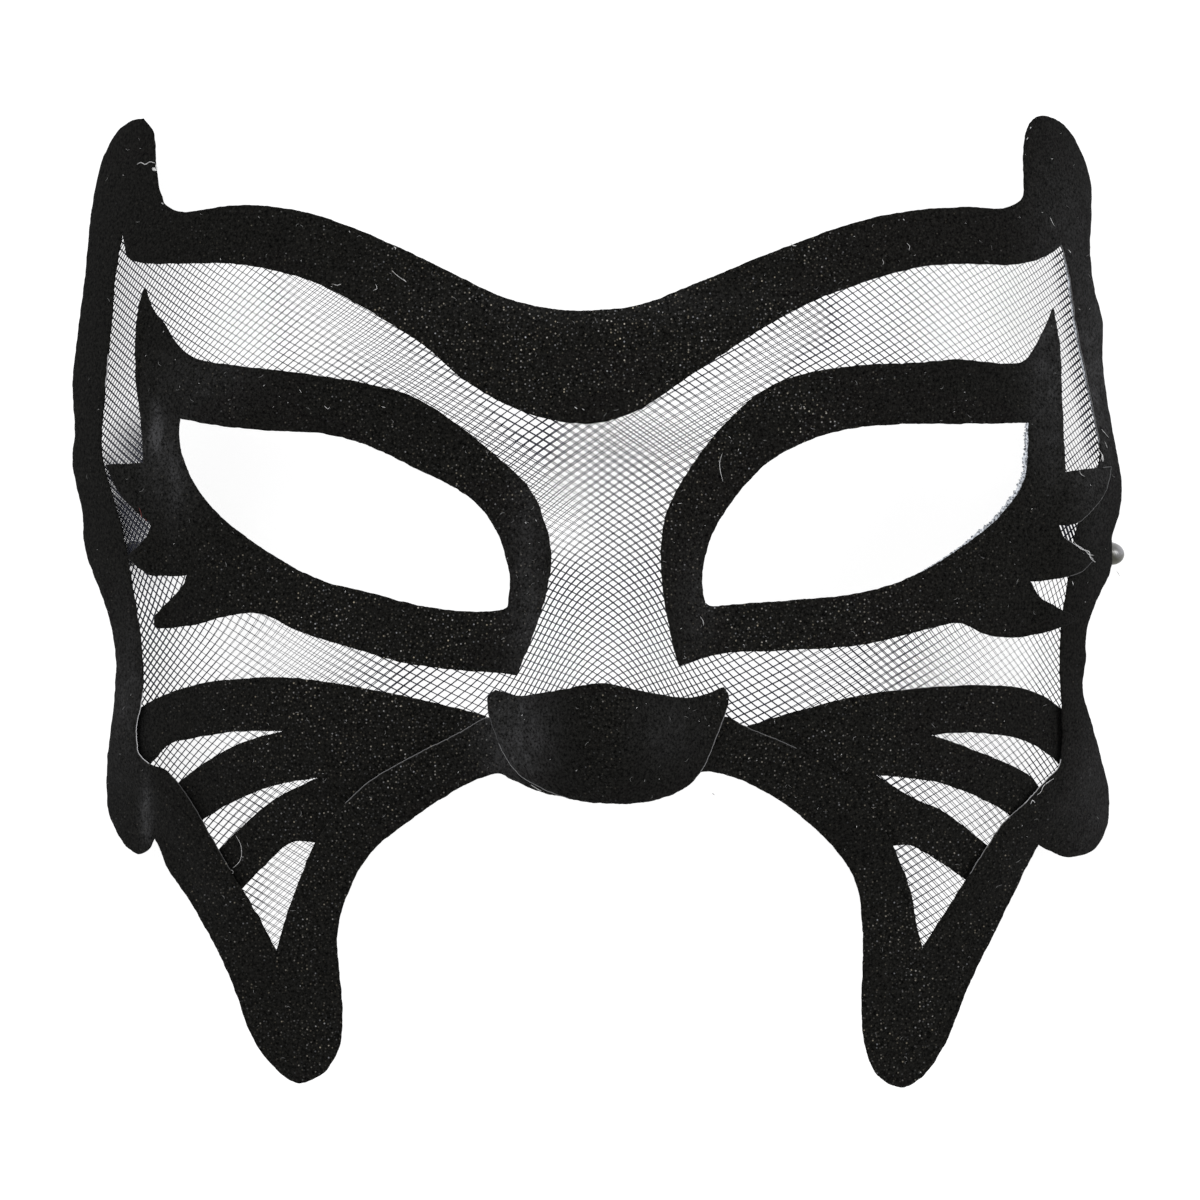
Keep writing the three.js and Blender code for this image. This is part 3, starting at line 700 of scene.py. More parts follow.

# Stretches where a cut edge gets a painted highlight, and how strong it is
EDGE_HIGHLIGHTS = {
    "velvet_eye_right": [
        ([(78.6, 21), (78.4, 18.5), (77.6, 15.4), (76, 13), (73.8, 11.8)], 0.2),
        ([(72.8, 8.8), (73.9, 8.1)], 0.35),
        ([(73.9, 8.1), (74.9, 7.4), (75.5, 6.5)], 1.0),
        ([(76, 5.8), (74.8, 4.6), (72.6, 3.4)], 0.2),
    ],
    "velvet_border": [
        ([(-70.4, -15.5), (-71.2, -19.7), (-71.2, -21.8), (-70.6, -23.6), (-69.5, -24.8)], 1.0),
        ([(-65.2, -27.4), (-63.6, -30.3), (-61.6, -33), (-59.2, -36.6), (-57.2, -41.2)], 0.12),
        ([(71.9, 54.1), (72.7, 48.8), (73.5, 42.1), (74.6, 35.4), (75.9, 28.8), (76.6, 24.5)], 0.22),
        ([(70.8, -25.6), (67.6, -28.4), (66, -31)], 0.75),
        ([(66, -31), (63.8, -33.4), (61, -35.4), (59, -38.3), (56.8, -41.7)], 0.35),
        ([(-38.5, -30.4), (-33, -27.1), (-26.2, -22.2), (-17, -18.2)], 0.28),
        ([(22.5, -19.3), (30.8, -24.6), (37.7, -30.8), (39.7, -35.4)], 0.2),
        ([(-75.5, 36.6), (-76.2, 33)], 0.9),
    ],
    "velvet_nose": [
        ([(-17, -16.5), (-15.8, -21.5)], 0.12),
        ([(-15, -23), (-13, -25.8), (-9, -28.5), (-5, -30.3)], 0.35),
        ([(19, -17.8), (18, -21.5), (15.6, -26.2)], 0.4),
    ],
}


def ragged(loop, overhang):
    """The outline with the small unevenness of a cut edge, and the pile reaching out over it.

    It is more even on the steep sides, where a small step outwards would be a long one down.
    """
    rough = RANDOM.normal(size=len(loop))
    soft = (rough + np.roll(rough, 1) + np.roll(rough, 2) + np.roll(rough, -1)) / 2
    level = ease(face_normal(*loop.T)[:, 2], 0, 0.6)
    reach = overhang + EDGE_ROUGHNESS * level * np.clip(0.8 * soft + 0.5 * rough, -2, 2)
    return loop + outwards(loop) * reach[:, None]


def ripple(points):
    """Gentle unevenness over a few millimetres."""
    total = np.zeros(len(points))
    for length, turn, phase in WAVES:
        way = points[:, 0] * math.cos(turn) + points[:, 1] * math.sin(turn)
        total += np.sin(2 * math.pi / length * way + phase)
    return total / math.sqrt(len(WAVES))


def rim_tree(rim):
    tree = KDTree(len(rim))
    for i, (s, y) in enumerate(rim):
        tree.insert((s, y, 0), i)
    tree.balance()
    return tree


def nearest_rim(tree, points):
    """The number of the rim point nearest to each point, and its distance."""
    found = [tree.find((s, y, 0)) for s, y in points]
    return [f[1] for f in found], np.array([f[2] for f in found])


def inner_points(flat_loops, tree):
    """A slightly uneven grid of points between the loops and clear of them."""
    rim = np.vstack(flat_loops)
    (left, low), (right, high) = rim.min(0), rim.max(0)
    columns = np.arange(left, right, GRID_SPACING * math.sqrt(0.75))
    rows = np.arange(low - GRID_SPACING, high + GRID_SPACING, GRID_SPACING)
    s, y = np.meshgrid(columns, rows, indexing="ij")
    y = y + (np.arange(len(columns)) % 2)[:, None] * GRID_SPACING / 2
    grid = np.stack([s.ravel(), y.ravel()], axis=1)
    grid += RANDOM.uniform(-GRID_SHIFT, GRID_SHIFT, grid.shape) * GRID_SPACING
    grid = grid[between(grid, flat_loops)]
    return grid[nearest_rim(tree, grid)[1] > RIM_INSET + 0.35 * GRID_SPACING]


def triangles_between(flat_loops, points):
    """Triangles over the points, of which the loops' come first, in the area between the loops."""
    edges, start = [], 0
    for loop in flat_loops:
        n = len(loop)
        edges += [(start + i, start + (i + 1) % n) for i in range(n)]
        start += n
    verts, _, faces, _, _, _ = delaunay_2d_cdt([Vector(p) for p in points], edges, [], 1, 1e-5)
    flat = np.array([(v[0], v[1]) for v in verts])
    faces = np.array([f for f in faces if len(f) == 3])
    faces = faces[between(flat[faces].mean(axis=1), flat_loops)]
    a, b, c = (flat[faces[:, i]] for i in range(3))
    turned = (b - a)[:, 0] * (c - a)[:, 1] - (b - a)[:, 1] * (c - a)[:, 0] < 0
    faces[turned] = faces[turned][:, ::-1]
    used = np.unique(faces)
    renumber = np.full(len(flat), -1)
    renumber[used] = np.arange(len(used))
    return flat[used], renumber[faces]


def from_flat(flat):
    return np.stack([roll_back(flat[:, 0]), flat[:, 1]], axis=1)


def triangulate(loops):
    """Triangles between the loops, even along the surface.

    It returns their points and numbers, how far each point is from the rim, and the points of the
    piece's back, which draws in under the rim.
    """
    flat_loops = [np.stack([unroll(p[:, 0]), p[:, 1]], axis=1) for p in loops]
    rim = np.vstack(flat_loops)
    tree = rim_tree(rim)
    grid = inner_points(flat_loops, tree)
    signs = [-1] + [1] * (len(loops) - 1)
    inward = np.vstack([sign * outwards(loop) for loop, sign in zip(flat_loops, signs)])
    ring = rim + inward * RIM_INSET
    ring = ring[nearest_rim(tree, ring)[1] > 0.85 * RIM_INSET]
    flat, faces = triangles_between(flat_loops, np.vstack([rim, ring, grid]))
    nearest, distance = nearest_rim(tree, flat)
    drawn_in = UNDERCUT * np.maximum(0, 1 - distance / RIM_WIDTH)
    return from_flat(flat), faces, distance, from_flat(flat + inward[nearest] * drawn_in[:, None])


def rim_edges(faces):
    directed = {(a, b) for f in faces.tolist() for a, b in zip(f, f[1:] + f[:1])}
    return sorted((a, b) for a, b in directed if (b, a) not in directed)


def painted_glints(points):
    """How strongly the dots of glue are painted as glints, most where the mask faces straight up into the
    light.
    """
    facing = face_normal(*points.T)[:, 2]
    strength = 0.12 + 0.75 * ease(facing, 0.55, 0.95) + mounds(points, GLINT_SPOTS)
    strength *= 1 - 0.65 * ease(points[:, 1], 2, 12) * ease(np.abs(points[:, 0]), 28, 48)
    return np.clip(strength, 0, 2)


# Painted sheen: how much paler the pile is painted where light catches its flanks and bends, 0 to 1.
def painted_sheen(points):
    return np.clip(mounds(points, SHEEN_SPOTS), 0, 1)


def painted_edge_highlights(name, points, distance):
    """How pale the cut edge is painted as a highlight, 0 to 1, along the piece's listed stretches."""
    pale = np.zeros(len(points))
    for stretch, strength in EDGE_HIGHLIGHTS.get(name, []):
        line = curve(stretch, 1.0)
        near = stretch_distance(points, line[:-1], line[1:]) < HIGHLIGHT_REACH
        pale = np.maximum(pale, strength * near * (distance < HIGHLIGHT_WIDTH))
    return pale


def velvet_piece(name, node, outlines, lift):
    """A die-cut piece: pile above, thinner at the cut edge, and a backing below."""
    overhangs = [OVERHANG] + [-OVERHANG] * (len(outlines) - 1)
    loops = [ragged(outline(runs, EDGE_STEP), overhang) for runs, overhang in zip(outlines, overhangs)]
    points, faces, distance, under_points = triangulate(loops)
    lifted = lift(points)
    rounded = RIM_DROP * (1 - ease(distance, 0, RIM_ROUND))
    top = on_face(points, rounded + RIPPLE_HEIGHT * ripple(points), lifted)
    thickness = EDGE_THICKNESS + (VELVET_THICKNESS - EDGE_THICKNESS) * ease(distance, 0, RIM_WIDTH)
    back = on_face(under_points, thickness, lifted)
    n = len(points)
    walls = [(b, a, n + a, n + b) for a, b in rim_edges(faces)]
    all_faces = faces.tolist() + (faces[:, ::-1] + n).tolist() + walls
    places = np.vstack([top, back])
    obj = add_mesh(name, places, all_faces, [velvet, backing], replaces=[node], slot="velvet")
    kinds = np.zeros(len(all_faces), np.int32)
    kinds[len(faces) : 2 * len(faces)] = 1
    obj.data.polygons.foreach_set("material_index", kinds)
    pale = painted_edge_highlights(name, points, distance)
    for title, strength in (("pale", pale), ("painted_glints", painted_glints(points)), ("painted_sheen", painted_sheen(points))):
        values = np.concatenate([strength, np.zeros(n)]).astype(np.float32)
        obj.data.attributes.new(title, "FLOAT", "POINT").data.foreach_set("value", values)


VELVET_PIECES = [
    ("velvet_border", "border", [BORDER_EDGE, BORDER_WINDOW], border_lift),
    ("velvet_eye_left", "eye_left", [LEFT_EYE_EDGE, LEFT_EYE_HOLE], eye_lift),
    ("velvet_eye_right", "eye_right", [RIGHT_EYE_EDGE, RIGHT_EYE_HOLE], eye_lift),
    ("velvet_whiskers_left", "whiskers_left", [LEFT_WHISKERS], no_lift),
    ("velvet_whiskers_right", "whiskers_right", [RIGHT_WHISKERS], no_lift),
    ("velvet_nose", "nose", [NOSE_EDGE], nose_lift),
]
for piece in VELVET_PIECES:
    velvet_piece(*piece)


# Net
# Two families of threads cross each other, and a second net just under the first is a little out of
# step. A thread runs where the number of threads below a point is its own number and a half.

NET_INSET = 1.1
NET_SAMPLE = 1.0
NET_DEPTH = VELVET_THICKNESS + LAYER_GAP
FALLING_DROP = 0.07
RISING_DROP = 0.2
SECOND_NET_DROP = 0.05
DENSE_SET_DROP = 0.4
NET_REACH_X = 82.0
NET_REACH_Y = 77
THREAD_RADIUS = 0.1
THREAD_STEP = 1.5
THREAD_TURNS = [math.pi / 4, 3 * math.pi / 4, 5 * math.pi / 4, 7 * math.pi / 4]
THREAD_NUMBERS = (-200, 260)
SHORTEST_STEP = 0.02
HEIGHT_ROUNDS = 20
END_ROUNDS = 7
DENSE_SET = {"end": -63.0, "step": 0.55, "closer": 3, "shift": 0.25}
DENSE_WIDTH = 0.66
DENSE_LEAST = 0.08

# Threads to the millimetre upwards, and how far the rising family lies from the falling one's mirror image
UP_RATE = 0.765
RISING_SHIFT = 1.7

# Threads to the millimetre across the mask, from the far side of a family to the near side
crossing_rate = through([
    (-84, 0.9), (-75, 0.75), (-67, 0.57), (-59, 0.47), (-45, 0.43), (-11, 0.42), (-3, 0.46), (5, 0.53),
    (13, 0.56), (25, 0.6), (33, 0.64), (41, 0.71), (49, 0.81), (53, 0.91), (57, 1.07), (61, 1.3),
    (65, 1.62), (70, 2.1), (76, 2.6), (90, 3.2),
])
COUNT_STEP = 0.25
COUNT_X = np.arange(-90, 90.01, COUNT_STEP)
COUNT_RATE = crossing_rate(COUNT_X)
COUNTED = np.concatenate([[0], np.cumsum((COUNT_RATE[1:] + COUNT_RATE[:-1]) / 2 * COUNT_STEP)])

# Threads that the nose's flank adds at each height
flank_count = through([(-16, 10.5), (-5, 9.5), (3, 6.2), (11, 2.9), (19, 1), (30, 0)])

# How wide the threads look from the left to the right of the mask
# Thinner threads towards the sides, most on the right, partly stand in for the light that the threads catch
# there.
width_across = through([
    (-78, 0.78), (-70, 0.74), (-66, 0.68), (-62, 0.56), (-58, 0.47), (-54, 0.45), (-50, 0.44),
    (-46, 0.47), (-42, 0.55), (-36, 0.64), (-28, 0.73), (-14, 0.7), (-2, 0.62), (8, 0.64), (20, 0.68),
    (34, 0.74), (42, 0.7), (46, 0.62), (50, 0.51), (54, 0.4), (58, 0.34), (62, 0.3), (66, 0.29),
    (70, 0.36), (78, 0.48),
])

# Mounds of wider and narrower threads, and of the third, denser set of threads that darkens the net at the
# left temple
WIDTH_SPOTS = [
    (-1, 24, 22, 5, 0.5), (-7, 10, 5, 4, -0.4), (13, -10, 8, 7, -0.25), (-42, 40, 8, 8, -0.2),
    (-32, -13, 10, 4, 0.25), (-70, -7, 3.5, 12, 0.35), (-54, -32, 5, 6, 0.4), (-55, -46, 3, 5, 0.3),
    (61, -34, 2.5, 2.5, 0.5), (72.8, 21.5, 1.6, 1.8, 0.5), (-62, -23, 5, 4, -0.2), (-54, -8, 9, 5, -0.22),
]
TEMPLE_SPOT = (72.4, 10.5, 2.5, 2.8)
DENSE_SPOTS = [(-70.5, 22.5, 4.5, 5, 0.95), (-73.5, 12.5, 6, 7, 1.15), (-76.5, 18.5, 3, 3.5, 0.8)]


def crossings(across, from_nose, y, falling):
    """Number of threads of one family below a point.

    across runs from left to right for the family whose threads fall to the right, and from right to
    left for the other. The terms beside the plain counts bend the threads at the outer side, on the far
    wall, and on the nose's flank and bridge.
    """
    near_side = np.maximum(across, 0)
    side = np.interp(across + 0.0018 * near_side * (y - 47), COUNT_X, COUNTED)
    outer = 0.00125 * (near_side / 60) ** 2 * (y - 18) ** 2
    flank = flank_count(y) * (1 - np.exp(-((np.maximum(from_nose, 0) / 12.8) ** 2.5)))
    if falling:
        far_wall = -0.012 * np.maximum(-across - 60, 0) ** 2 * ease(-y, -25, 0)
    else:
        past = np.maximum(-across - 52, 0)
        far_wall = 0.0014 * past * past / (past + 4) * np.maximum(y + 15, 0)
    low = np.clip(20 - y, 0, 50)
    bridge = 0.1 * low * low / (low + 12) * np.exp(-((from_nose / 14) ** 2))
    return side + UP_RATE * y + outer + far_wall + flank - bridge


def fold_line(knots):
    """How near points are to a line y over x, 1 on it, fading over a few millimetres."""
    level = through(knots)

    def near(x, y, reach):
        off = (y - level(x)) * 0.75
        past = np.maximum(np.maximum(knots[0][0] - x, x - knots[-1][0]), 0)
        return np.exp(-((off / reach) ** 2) - (past / 4) ** 2)

    return near


left_fold = fold_line([(-45, 50), (-38, 43), (-29, 33.5), (-20, 27), (-13, 20), (-8, 15)])
right_fold = fold_line([(6, 27), (12, 25), (18, 29), (26, 37), (32, 43)])


def slip(x, y, falling):
    """How far the second net lies from the first, in spacings of its threads."""
    frontal = 1 - ease(np.abs(x), 42, 56)
    drift = 0.02 + frontal * (0.055 + 0.03 * np.sin(x / 9 + 0.6) + 0.03 * np.sin(y / 7 - x / 17))
    strong, weak = (left_fold, right_fold) if falling else (right_fold, left_fold)
    fold = (0.4 if falling else 0.28) * strong(x, y, 3.6) + 0.28 * weak(x, y, 2.8)
    high = mound(x, y, -2, 24, 7, 6, 0.2)
    near, far = ((55, 10), (-47, 6)) if falling else ((-46, 11), (38, 7))
    low = 0.3 * np.exp(-(((x - near[0]) / near[1]) ** 2))
    low += 0.25 * np.exp(-(((x - far[0]) / far[1]) ** 2))
    return np.minimum(drift + fold + high + low * ease(-y, -2, 5), 0.5)


def thread_width(points, falling):
    """How thick the threads look beside the usual, with one family bolder on each side wall."""
    x, y = points.T
    factor = 1 + mounds(points, WIDTH_SPOTS) + mound(x, y, *TEMPLE_SPOT, 3.4 if falling else 1.9)
    # Painted shade: thicker threads along the inner edge of the right side strip darken the net where it
    # lies in shade.
    from_strip = x - 72.2 - 0.17 * (50.8 - y)
    factor += 1.1 * ease(from_strip, -1.9, -0.2) * ease(x, 68, 71) * ease(y, 20, 24)
    factor += 0.5 * ease(x, 40, 52) * ease(-y, -2, 5) * (1 - mound(x, y, 65, -8, 6, 10))
    bolder = (0.45 if falling else -0.4) * ease(-x, 50, 64) * ease(y, 4, 16)
    bolder += (-0.2 if falling else 0.6) * ease(x, 50, 62) * ease(y, 16, 26)
    bolder += (-0.3 if falling else 0.2) * ease(x, 64, 74) * ease(y, 16, 26)
    return width_across(x) * factor * (1 + bolder)


def dense_strength(points):
    """How thick the third, denser set of threads is at the left temple, 0 to 1."""
    x, y = points.T
    thickest = np.max([mound(x, y, *spot) for spot in DENSE_SPOTS], axis=0)
    return np.minimum(1, thickest) * ease(-x, 64, 67)


def thread_heights(x, number, falling, slipped):
    """The height y at which the threads below each place x are as many as the number says."""

    def count(y):
        if falling:
            below = crossings(x, x - NOSE_X, y, True)
        else:
            below = crossings(-x - RISING_SHIFT, NOSE_X - x, y, False)
        return below + (slip(x, y, falling) if slipped else 0)

    y = (number - number.mean()) / 0.8
    for _ in range(HEIGHT_ROUNDS):
        here = count(y)
        slope = (count(y + 0.05) - here) / 0.05
        y = y - np.clip((here - number) / np.maximum(slope, 0.3), -8, 8)
    return y


def thread_family(falling, slipped=False, end=NET_REACH_X, step=THREAD_STEP, closer=1, shift=0.5):
    """Threads as rows of x and y, a step apart along the surface, and closer times as many of them."""
    way = np.arange(unroll(-NET_REACH_X), unroll(end), step)
    first, last = THREAD_NUMBERS
    numbers = (np.arange(closer * first, closer * last) + shift) / closer
    x, number = np.meshgrid(roll_back(way), numbers)
    return x, thread_heights(x, number, falling, slipped)


def moved_in(runs, distance):
    loop = outline(runs, NET_SAMPLE)
    return loop - distance * outwards(loop)


net_loops = [moved_in(BORDER_EDGE, NET_INSET)]
net_loops += [moved_in(hole, -NET_INSET) for hole in (LEFT_EYE_HOLE, RIGHT_EYE_HOLE)]


def in_net(points, depth):
    """Inside the net's edge, and hidden there by the velvet as seen from above."""
    seen = points - depth * face_normal(*points.T)[:, :2]
    return between(points, net_loops) & between(seen, net_loops)


def cut_threads(x, y, depth, fold):
    """The stretches of the threads that lie in the net, with their ends on its edge."""
    points = np.stack([x, y], axis=-1)
    near = (np.abs(y) < NET_REACH_Y) & (np.abs(x) < NET_REACH_X)
    if fold:
        near &= fold(points.reshape(-1, 2)).reshape(x.shape) > DENSE_LEAST
    held = np.zeros(x.shape, bool)
    held[near] = in_net(points[near], depth)
    runs, inner, outer = [], [], []
    for row, kept in zip(points, held):
        change = np.flatnonzero(np.diff(np.concatenate([[0], kept.astype(int), [0]])))
        for first, last in zip(change[::2], change[1::2]):
            runs.append(row[first:last])
            inner += [row[first], row[last - 1]]
            outer += [row[max(first - 1, 0)], row[min(last, len(row) - 1)]]
    inner, outer = np.array(inner), np.array(outer)
    for _ in range(END_ROUNDS):
        middle = (inner + outer) / 2
        ok = in_net(middle, depth)
        inner[ok], outer[~ok] = middle[ok], middle[~ok]
    lines = []
    for start, run, end in zip(inner[::2], runs, inner[1::2]):
        line = np.vstack([start, run, end])
        steps = np.linalg.norm(np.diff(line, axis=0), axis=1)
        line = line[np.concatenate([[True], steps > SHORTEST_STEP])]
        if len(line) > 1:
            lines.append(line)
    return lines


def net_threads(name, falling, depth):
    """One family of threads: both nets' threads, and a third, denser set that darkens the net at the left
    temple.
    """
    sets = [
        (thread_family(falling), depth, None),
        (thread_family(falling, slipped=True), depth + SECOND_NET_DROP, None),
        # A third set of threads, closer together and thicker, makes the net darker at the left temple.
        (thread_family(falling, **DENSE_SET), depth + DENSE_SET_DROP, dense_strength),
    ]
    tubes = []
    for (x, y), level, fold in sets:
        for line in cut_threads(x, y, level, fold):
            width = DENSE_WIDTH * fold(line) if fold else thread_width(line, falling)
            tubes.append((line, on_face(line, level), THREAD_RADIUS * width))
    add_tubes(name, tubes, THREAD_TURNS, thread, replaces=["net"], slot="net")


net_threads("net_threads_falling", True, NET_DEPTH + FALLING_DROP)
net_threads("net_threads_rising", False, NET_DEPTH + RISING_DROP)


# Lint and loose fibres on the velvet
# Fibres are listed by the lift of the velvet that they lie on, each with its radius and knots.

FIBRE_STEP = 0.25
FIBRE_LEVEL = 0.05
FIBRE_TURNS = (0.5, 2.6, 4.7)
SCATTER_REACH = (80, 74)
TRIES_PER_BIT = 12

WHITE_FIBRES = {
    border_lift: [
        (0.08, (-71.2, 67), (-70.6, 67.3), (-69.9, 67), (-69.2, 67.4), (-68.4, 67.2)),
        (0.3, (-68.8, 66.4), (-68.2, 66.1)), (0.14, (-68.3, 67), (-68.1, 66.2)),
        (0.12, (-67.4, 61.1), (-67.1, 60.9)), (0.08, (-73.4, 65.4), (-73.2, 65.3)),
        (0.09, (66.3, 72.8), (66.1, 72.5)), (0.09, (65.8, 71.2), (65.6, 70.8)),
        (0.08, (65.4, 68.6), (65.5, 68.4)), (0.05, (69.2, 58.9), (69.5, 58.2), (69.9, 57.5)),
        (0.07, (72, 53.9), (72.4, 53.4)), (0.07, (76.6, 23.3), (77.2, 22.2), (76.9, 21.3)),
        (0.2, (77.2, 22.4), (77.3, 21.3)), (0.06, (77.6, 24.4), (78, 23.4)),
        (0.05, (77.1, 26.3), (78.2, 25)), (0.07, (72.6, 2.9), (72.8, 2.3)),
        (0.05, (79.4, 4.5), (80, 3.6)),
        (0.06, (67.2, -30), (67.8, -29.5), (68.2, -28.6), (69.8, -27.4)),
        (0.07, (66.2, -31.4), (66.5, -30.8), (66.9, -31.2)), (0.08, (17.2, -29.7), (17.6, -30)),
        (0.1, (-31.7, 54.3), (-31.4, 54.2), (-31.5, 53.9)),
        (0.045, (-32, 50.7), (-31.3, 50), (-30.2, 49.2)), (0.06, (-30.3, 49.4), (-29.8, 48.9)),
        (0.05, (-41, 48.6), (-40.4, 48.4), (-39.8, 48.6)),
        (0.05, (-34.5, 48.6), (-34.3, 47.9), (-34.9, 47.6)), (0.07, (-38.6, 56.8), (-38.4, 56.5)),
        (0.09, (-52.5, 59), (-52.4, 58.8)), (0.06, (-58.4, 52.6), (-58.3, 52.3)),
        (0.1, (46.6, 58.6), (46.8, 58.4)), (0.045, (43.4, 52.4), (43.6, 51.9), (43.5, 51.6)),
        (0.045, (47.2, 54.9), (47.6, 54.4), (47.5, 53.8)),
        (0.08, (29.3, 54.9), (29.7, 54.5), (30.2, 54.5)), (0.08, (-3.9, 29.7), (-3.5, 29.4)),
        (0.07, (-2.7, 29.4), (-2.4, 29.2)),
    ],
    eye_lift: [
        (0.08, (-65.6, 8.6), (-65.4, 8.7)),
        (0.07, (72.9, 8.9), (73.9, 7.9), (75.2, 7.4), (75.4, 6.5), (76.2, 5.8)),
        (0.06, (74.6, 7.8), (75.2, 7), (75.9, 6.9)), (0.04, (73.7, 19.9), (74, 19.3), (74.6, 19)),
        (0.05, (-46.2, 32.4), (-45.9, 31.9)), (0.05, (-42.4, 29.9), (-41.8, 29.4), (-41.6, 29.7)),
        (0.05, (-33.6, 29.8), (-33, 29.6)),
        (0.045, (18.8, 22.6), (18.4, 21.2), (18.5, 19.8), (18.9, 18.2)),
        (0.05, (19.8, 25.2), (20.1, 24.9)), (0.04, (11.9, 14.8), (12.6, 14.9)),
        (0.05, (15.4, -2.6), (15.8, -3.2), (15.9, -3.9)), (0.09, (-11.5, 12), (-11.3, 11.8)),
        (0.06, (-9.9, 12.4), (-9.7, 12.1)),
    ],
    nose_lift: [(0.06, (-10.6, -28.4), (-9.8, -28.9), (-9, -29.4))],
    no_lift: [
        (0.05, (-56, -36.2), (-55.2, -37.8), (-55.3, -40), (-56.6, -41.4)),
        (0.08, (-57.2, -41.3), (-56.4, -41.8), (-57, -42.8), (-56.4, -43.2)),
        (0.09, (-66.3, -24.2), (-66.1, -24.4)),
    ],
}
RED_FIBRES = {
    eye_lift: [(0.06, (-70.9, 14.2), (-70.6, 13.5), (-70.5, 12.6)), (0.06, (-70, 12.5), (-69.7, 12.2))],
}


def listed(groups):
    """Every fibre as its lift, radius and knots."""
    return [(lift, radius, knots) for lift, group in groups.items() for radius, *knots in group]


def fibres_piece(name, fibres, material):
    """Many thin tapering fibres in one mesh."""
    lines = [open_curve(knots, FIBRE_STEP) for _, _, knots in fibres]
    starts = np.cumsum([0] + [len(line) for line in lines])
    lifted = {lift: lift(np.vstack(lines)) for lift in {fibre[0] for fibre in fibres}}
    tubes = []
    for line, start, (lift, radius, _) in zip(lines, starts, fibres):
        middle = on_face(line, -FIBRE_LEVEL, lifted[lift][start : start + len(line)])
        taper = 1 - 0.6 * np.abs(np.linspace(-1, 1, len(line))) ** 3
        tubes.append((line, middle, radius * taper))
    add_tubes(name, tubes, FIBRE_TURNS, material)


def scattered(number, shortest, longest, radius):
    """Short bits of fluff lying anywhere on the velvet, more of them around the middle."""
    tries = TRIES_PER_BIT * number
    reach = np.array(SCATTER_REACH)
    middle = RANDOM.uniform(-reach, reach, (tries, 2))
    turn = RANDOM.uniform(0, math.pi, tries)
    half = 0.5 * RANDOM.uniform(shortest, longest, (tries, 1))
    way = np.stack([np.cos(turn), np.sin(turn)], axis=1)
    bend = RANDOM.uniform(-0.6, 0.6, (tries, 1)) * half * np.stack([-way[:, 1], way[:, 0]], axis=1)
    knots = np.stack([middle - half * way, middle + bend, middle + half * way], axis=1)
    wanted = RANDOM.uniform(size=tries) < 0.5 + 0.5 * mound(*middle.T, 0, 5, 50, 45)
    radii = radius * RANDOM.uniform(0.6, 1.3, tries)
    bits = []
    for _, _, outlines, lift in reversed(VELVET_PIECES):
        loops = [outline(runs, 1.0) for runs in outlines]
        held = between(knots.reshape(-1, 2), loops).reshape(tries, 3).all(axis=1)
        bits += [(lift, radii[i], knots[i]) for i in np.flatnonzero(held & wanted)]
        wanted &= ~held
    chosen = RANDOM.permutation(len(bits))[:number]
    return [bits[i] for i in chosen]


fibres_piece("fluff_white", listed(WHITE_FIBRES), white_fluff)
fibres_piece("fluff_red", listed(RED_FIBRES), red_fluff)
fibres_piece("fluff_scattered", scattered(130, 0.1, 0.35, 0.045), white_fluff)
fibres_piece("fluff_faint", scattered(240, 0.2, 0.9, 0.045), grey_fluff)


# The net's glued edge where it shows past the velvet, as ragged strips; the one along the right side window
# is partly a painted highlight

FRAY_STEP = 0.22
FRAY_BACK = 0.7
FRAY_THICKNESS = 0.12


def frayed_edge(name, knots, width, depth):
    line = open_curve(knots, FRAY_STEP)
    aside = right_of(np.gradient(line, axis=0))
    part = np.linspace(0, 1, len(line))
    ends = np.minimum(1, 25 * part) * np.minimum(1, 3 * (1 - part))
    reach = width * ends * (1 - 0.35 * part) * RANDOM.uniform(0.55, 1.25, len(line))
    flat = np.vstack([line - FRAY_BACK * aside, line + aside * reach[:, None]])
    places = np.vstack([on_face(flat, depth), on_face(flat, depth + FRAY_THICKNESS)])
    n = len(line)
    # The places are the strip's back and front edge above, and then both below.
    faces = []
    for i in range(n - 1):
        faces.append((i, i + 1, n + i + 1, n + i))
        faces.append((2 * n + i + 1, 2 * n + i, 3 * n + i, 3 * n + i + 1))
        faces.append((n + i, n + i + 1, 3 * n + i + 1, 3 * n + i))
        faces.append((i + 1, i, 2 * n + i, 2 * n + i + 1))
    add_mesh(name, places, faces, [glued_edge], replaces=["net"], slot="net")


RIGHT_EYE_FRAY = [(66.3, 28.3), (66.05, 23), (65.4, 18.4), (62, 13.2), (55.4, 7.8), (49, 4.1)]
RIGHT_SIDE_FRAY_AND_HIGHLIGHT = [(71.7, 54.2), (72.5, 49), (73.5, 42), (75, 34.5), (76.2, 28.8), (77.1, 23.8)]
frayed_edge("net_edge_right", RIGHT_EYE_FRAY, 0.8, 0.15)
# The strip along the right side window is partly a painted highlight along that edge.
frayed_edge("net_edge_and_highlight_side", RIGHT_SIDE_FRAY_AND_HIGHLIGHT, 0.3, 0.3)


# Cord tips

TIP_RADIUS = 1.75
TIP_LENGTH = 8.0
TIP_DOME = 2.2
TIP_DOME_STEPS = 14
TIP_SIDES = 56
TIP_CORE = 1.2
TIP_GROOVE = 0.5
CRIMP_DEPTH = 0.14


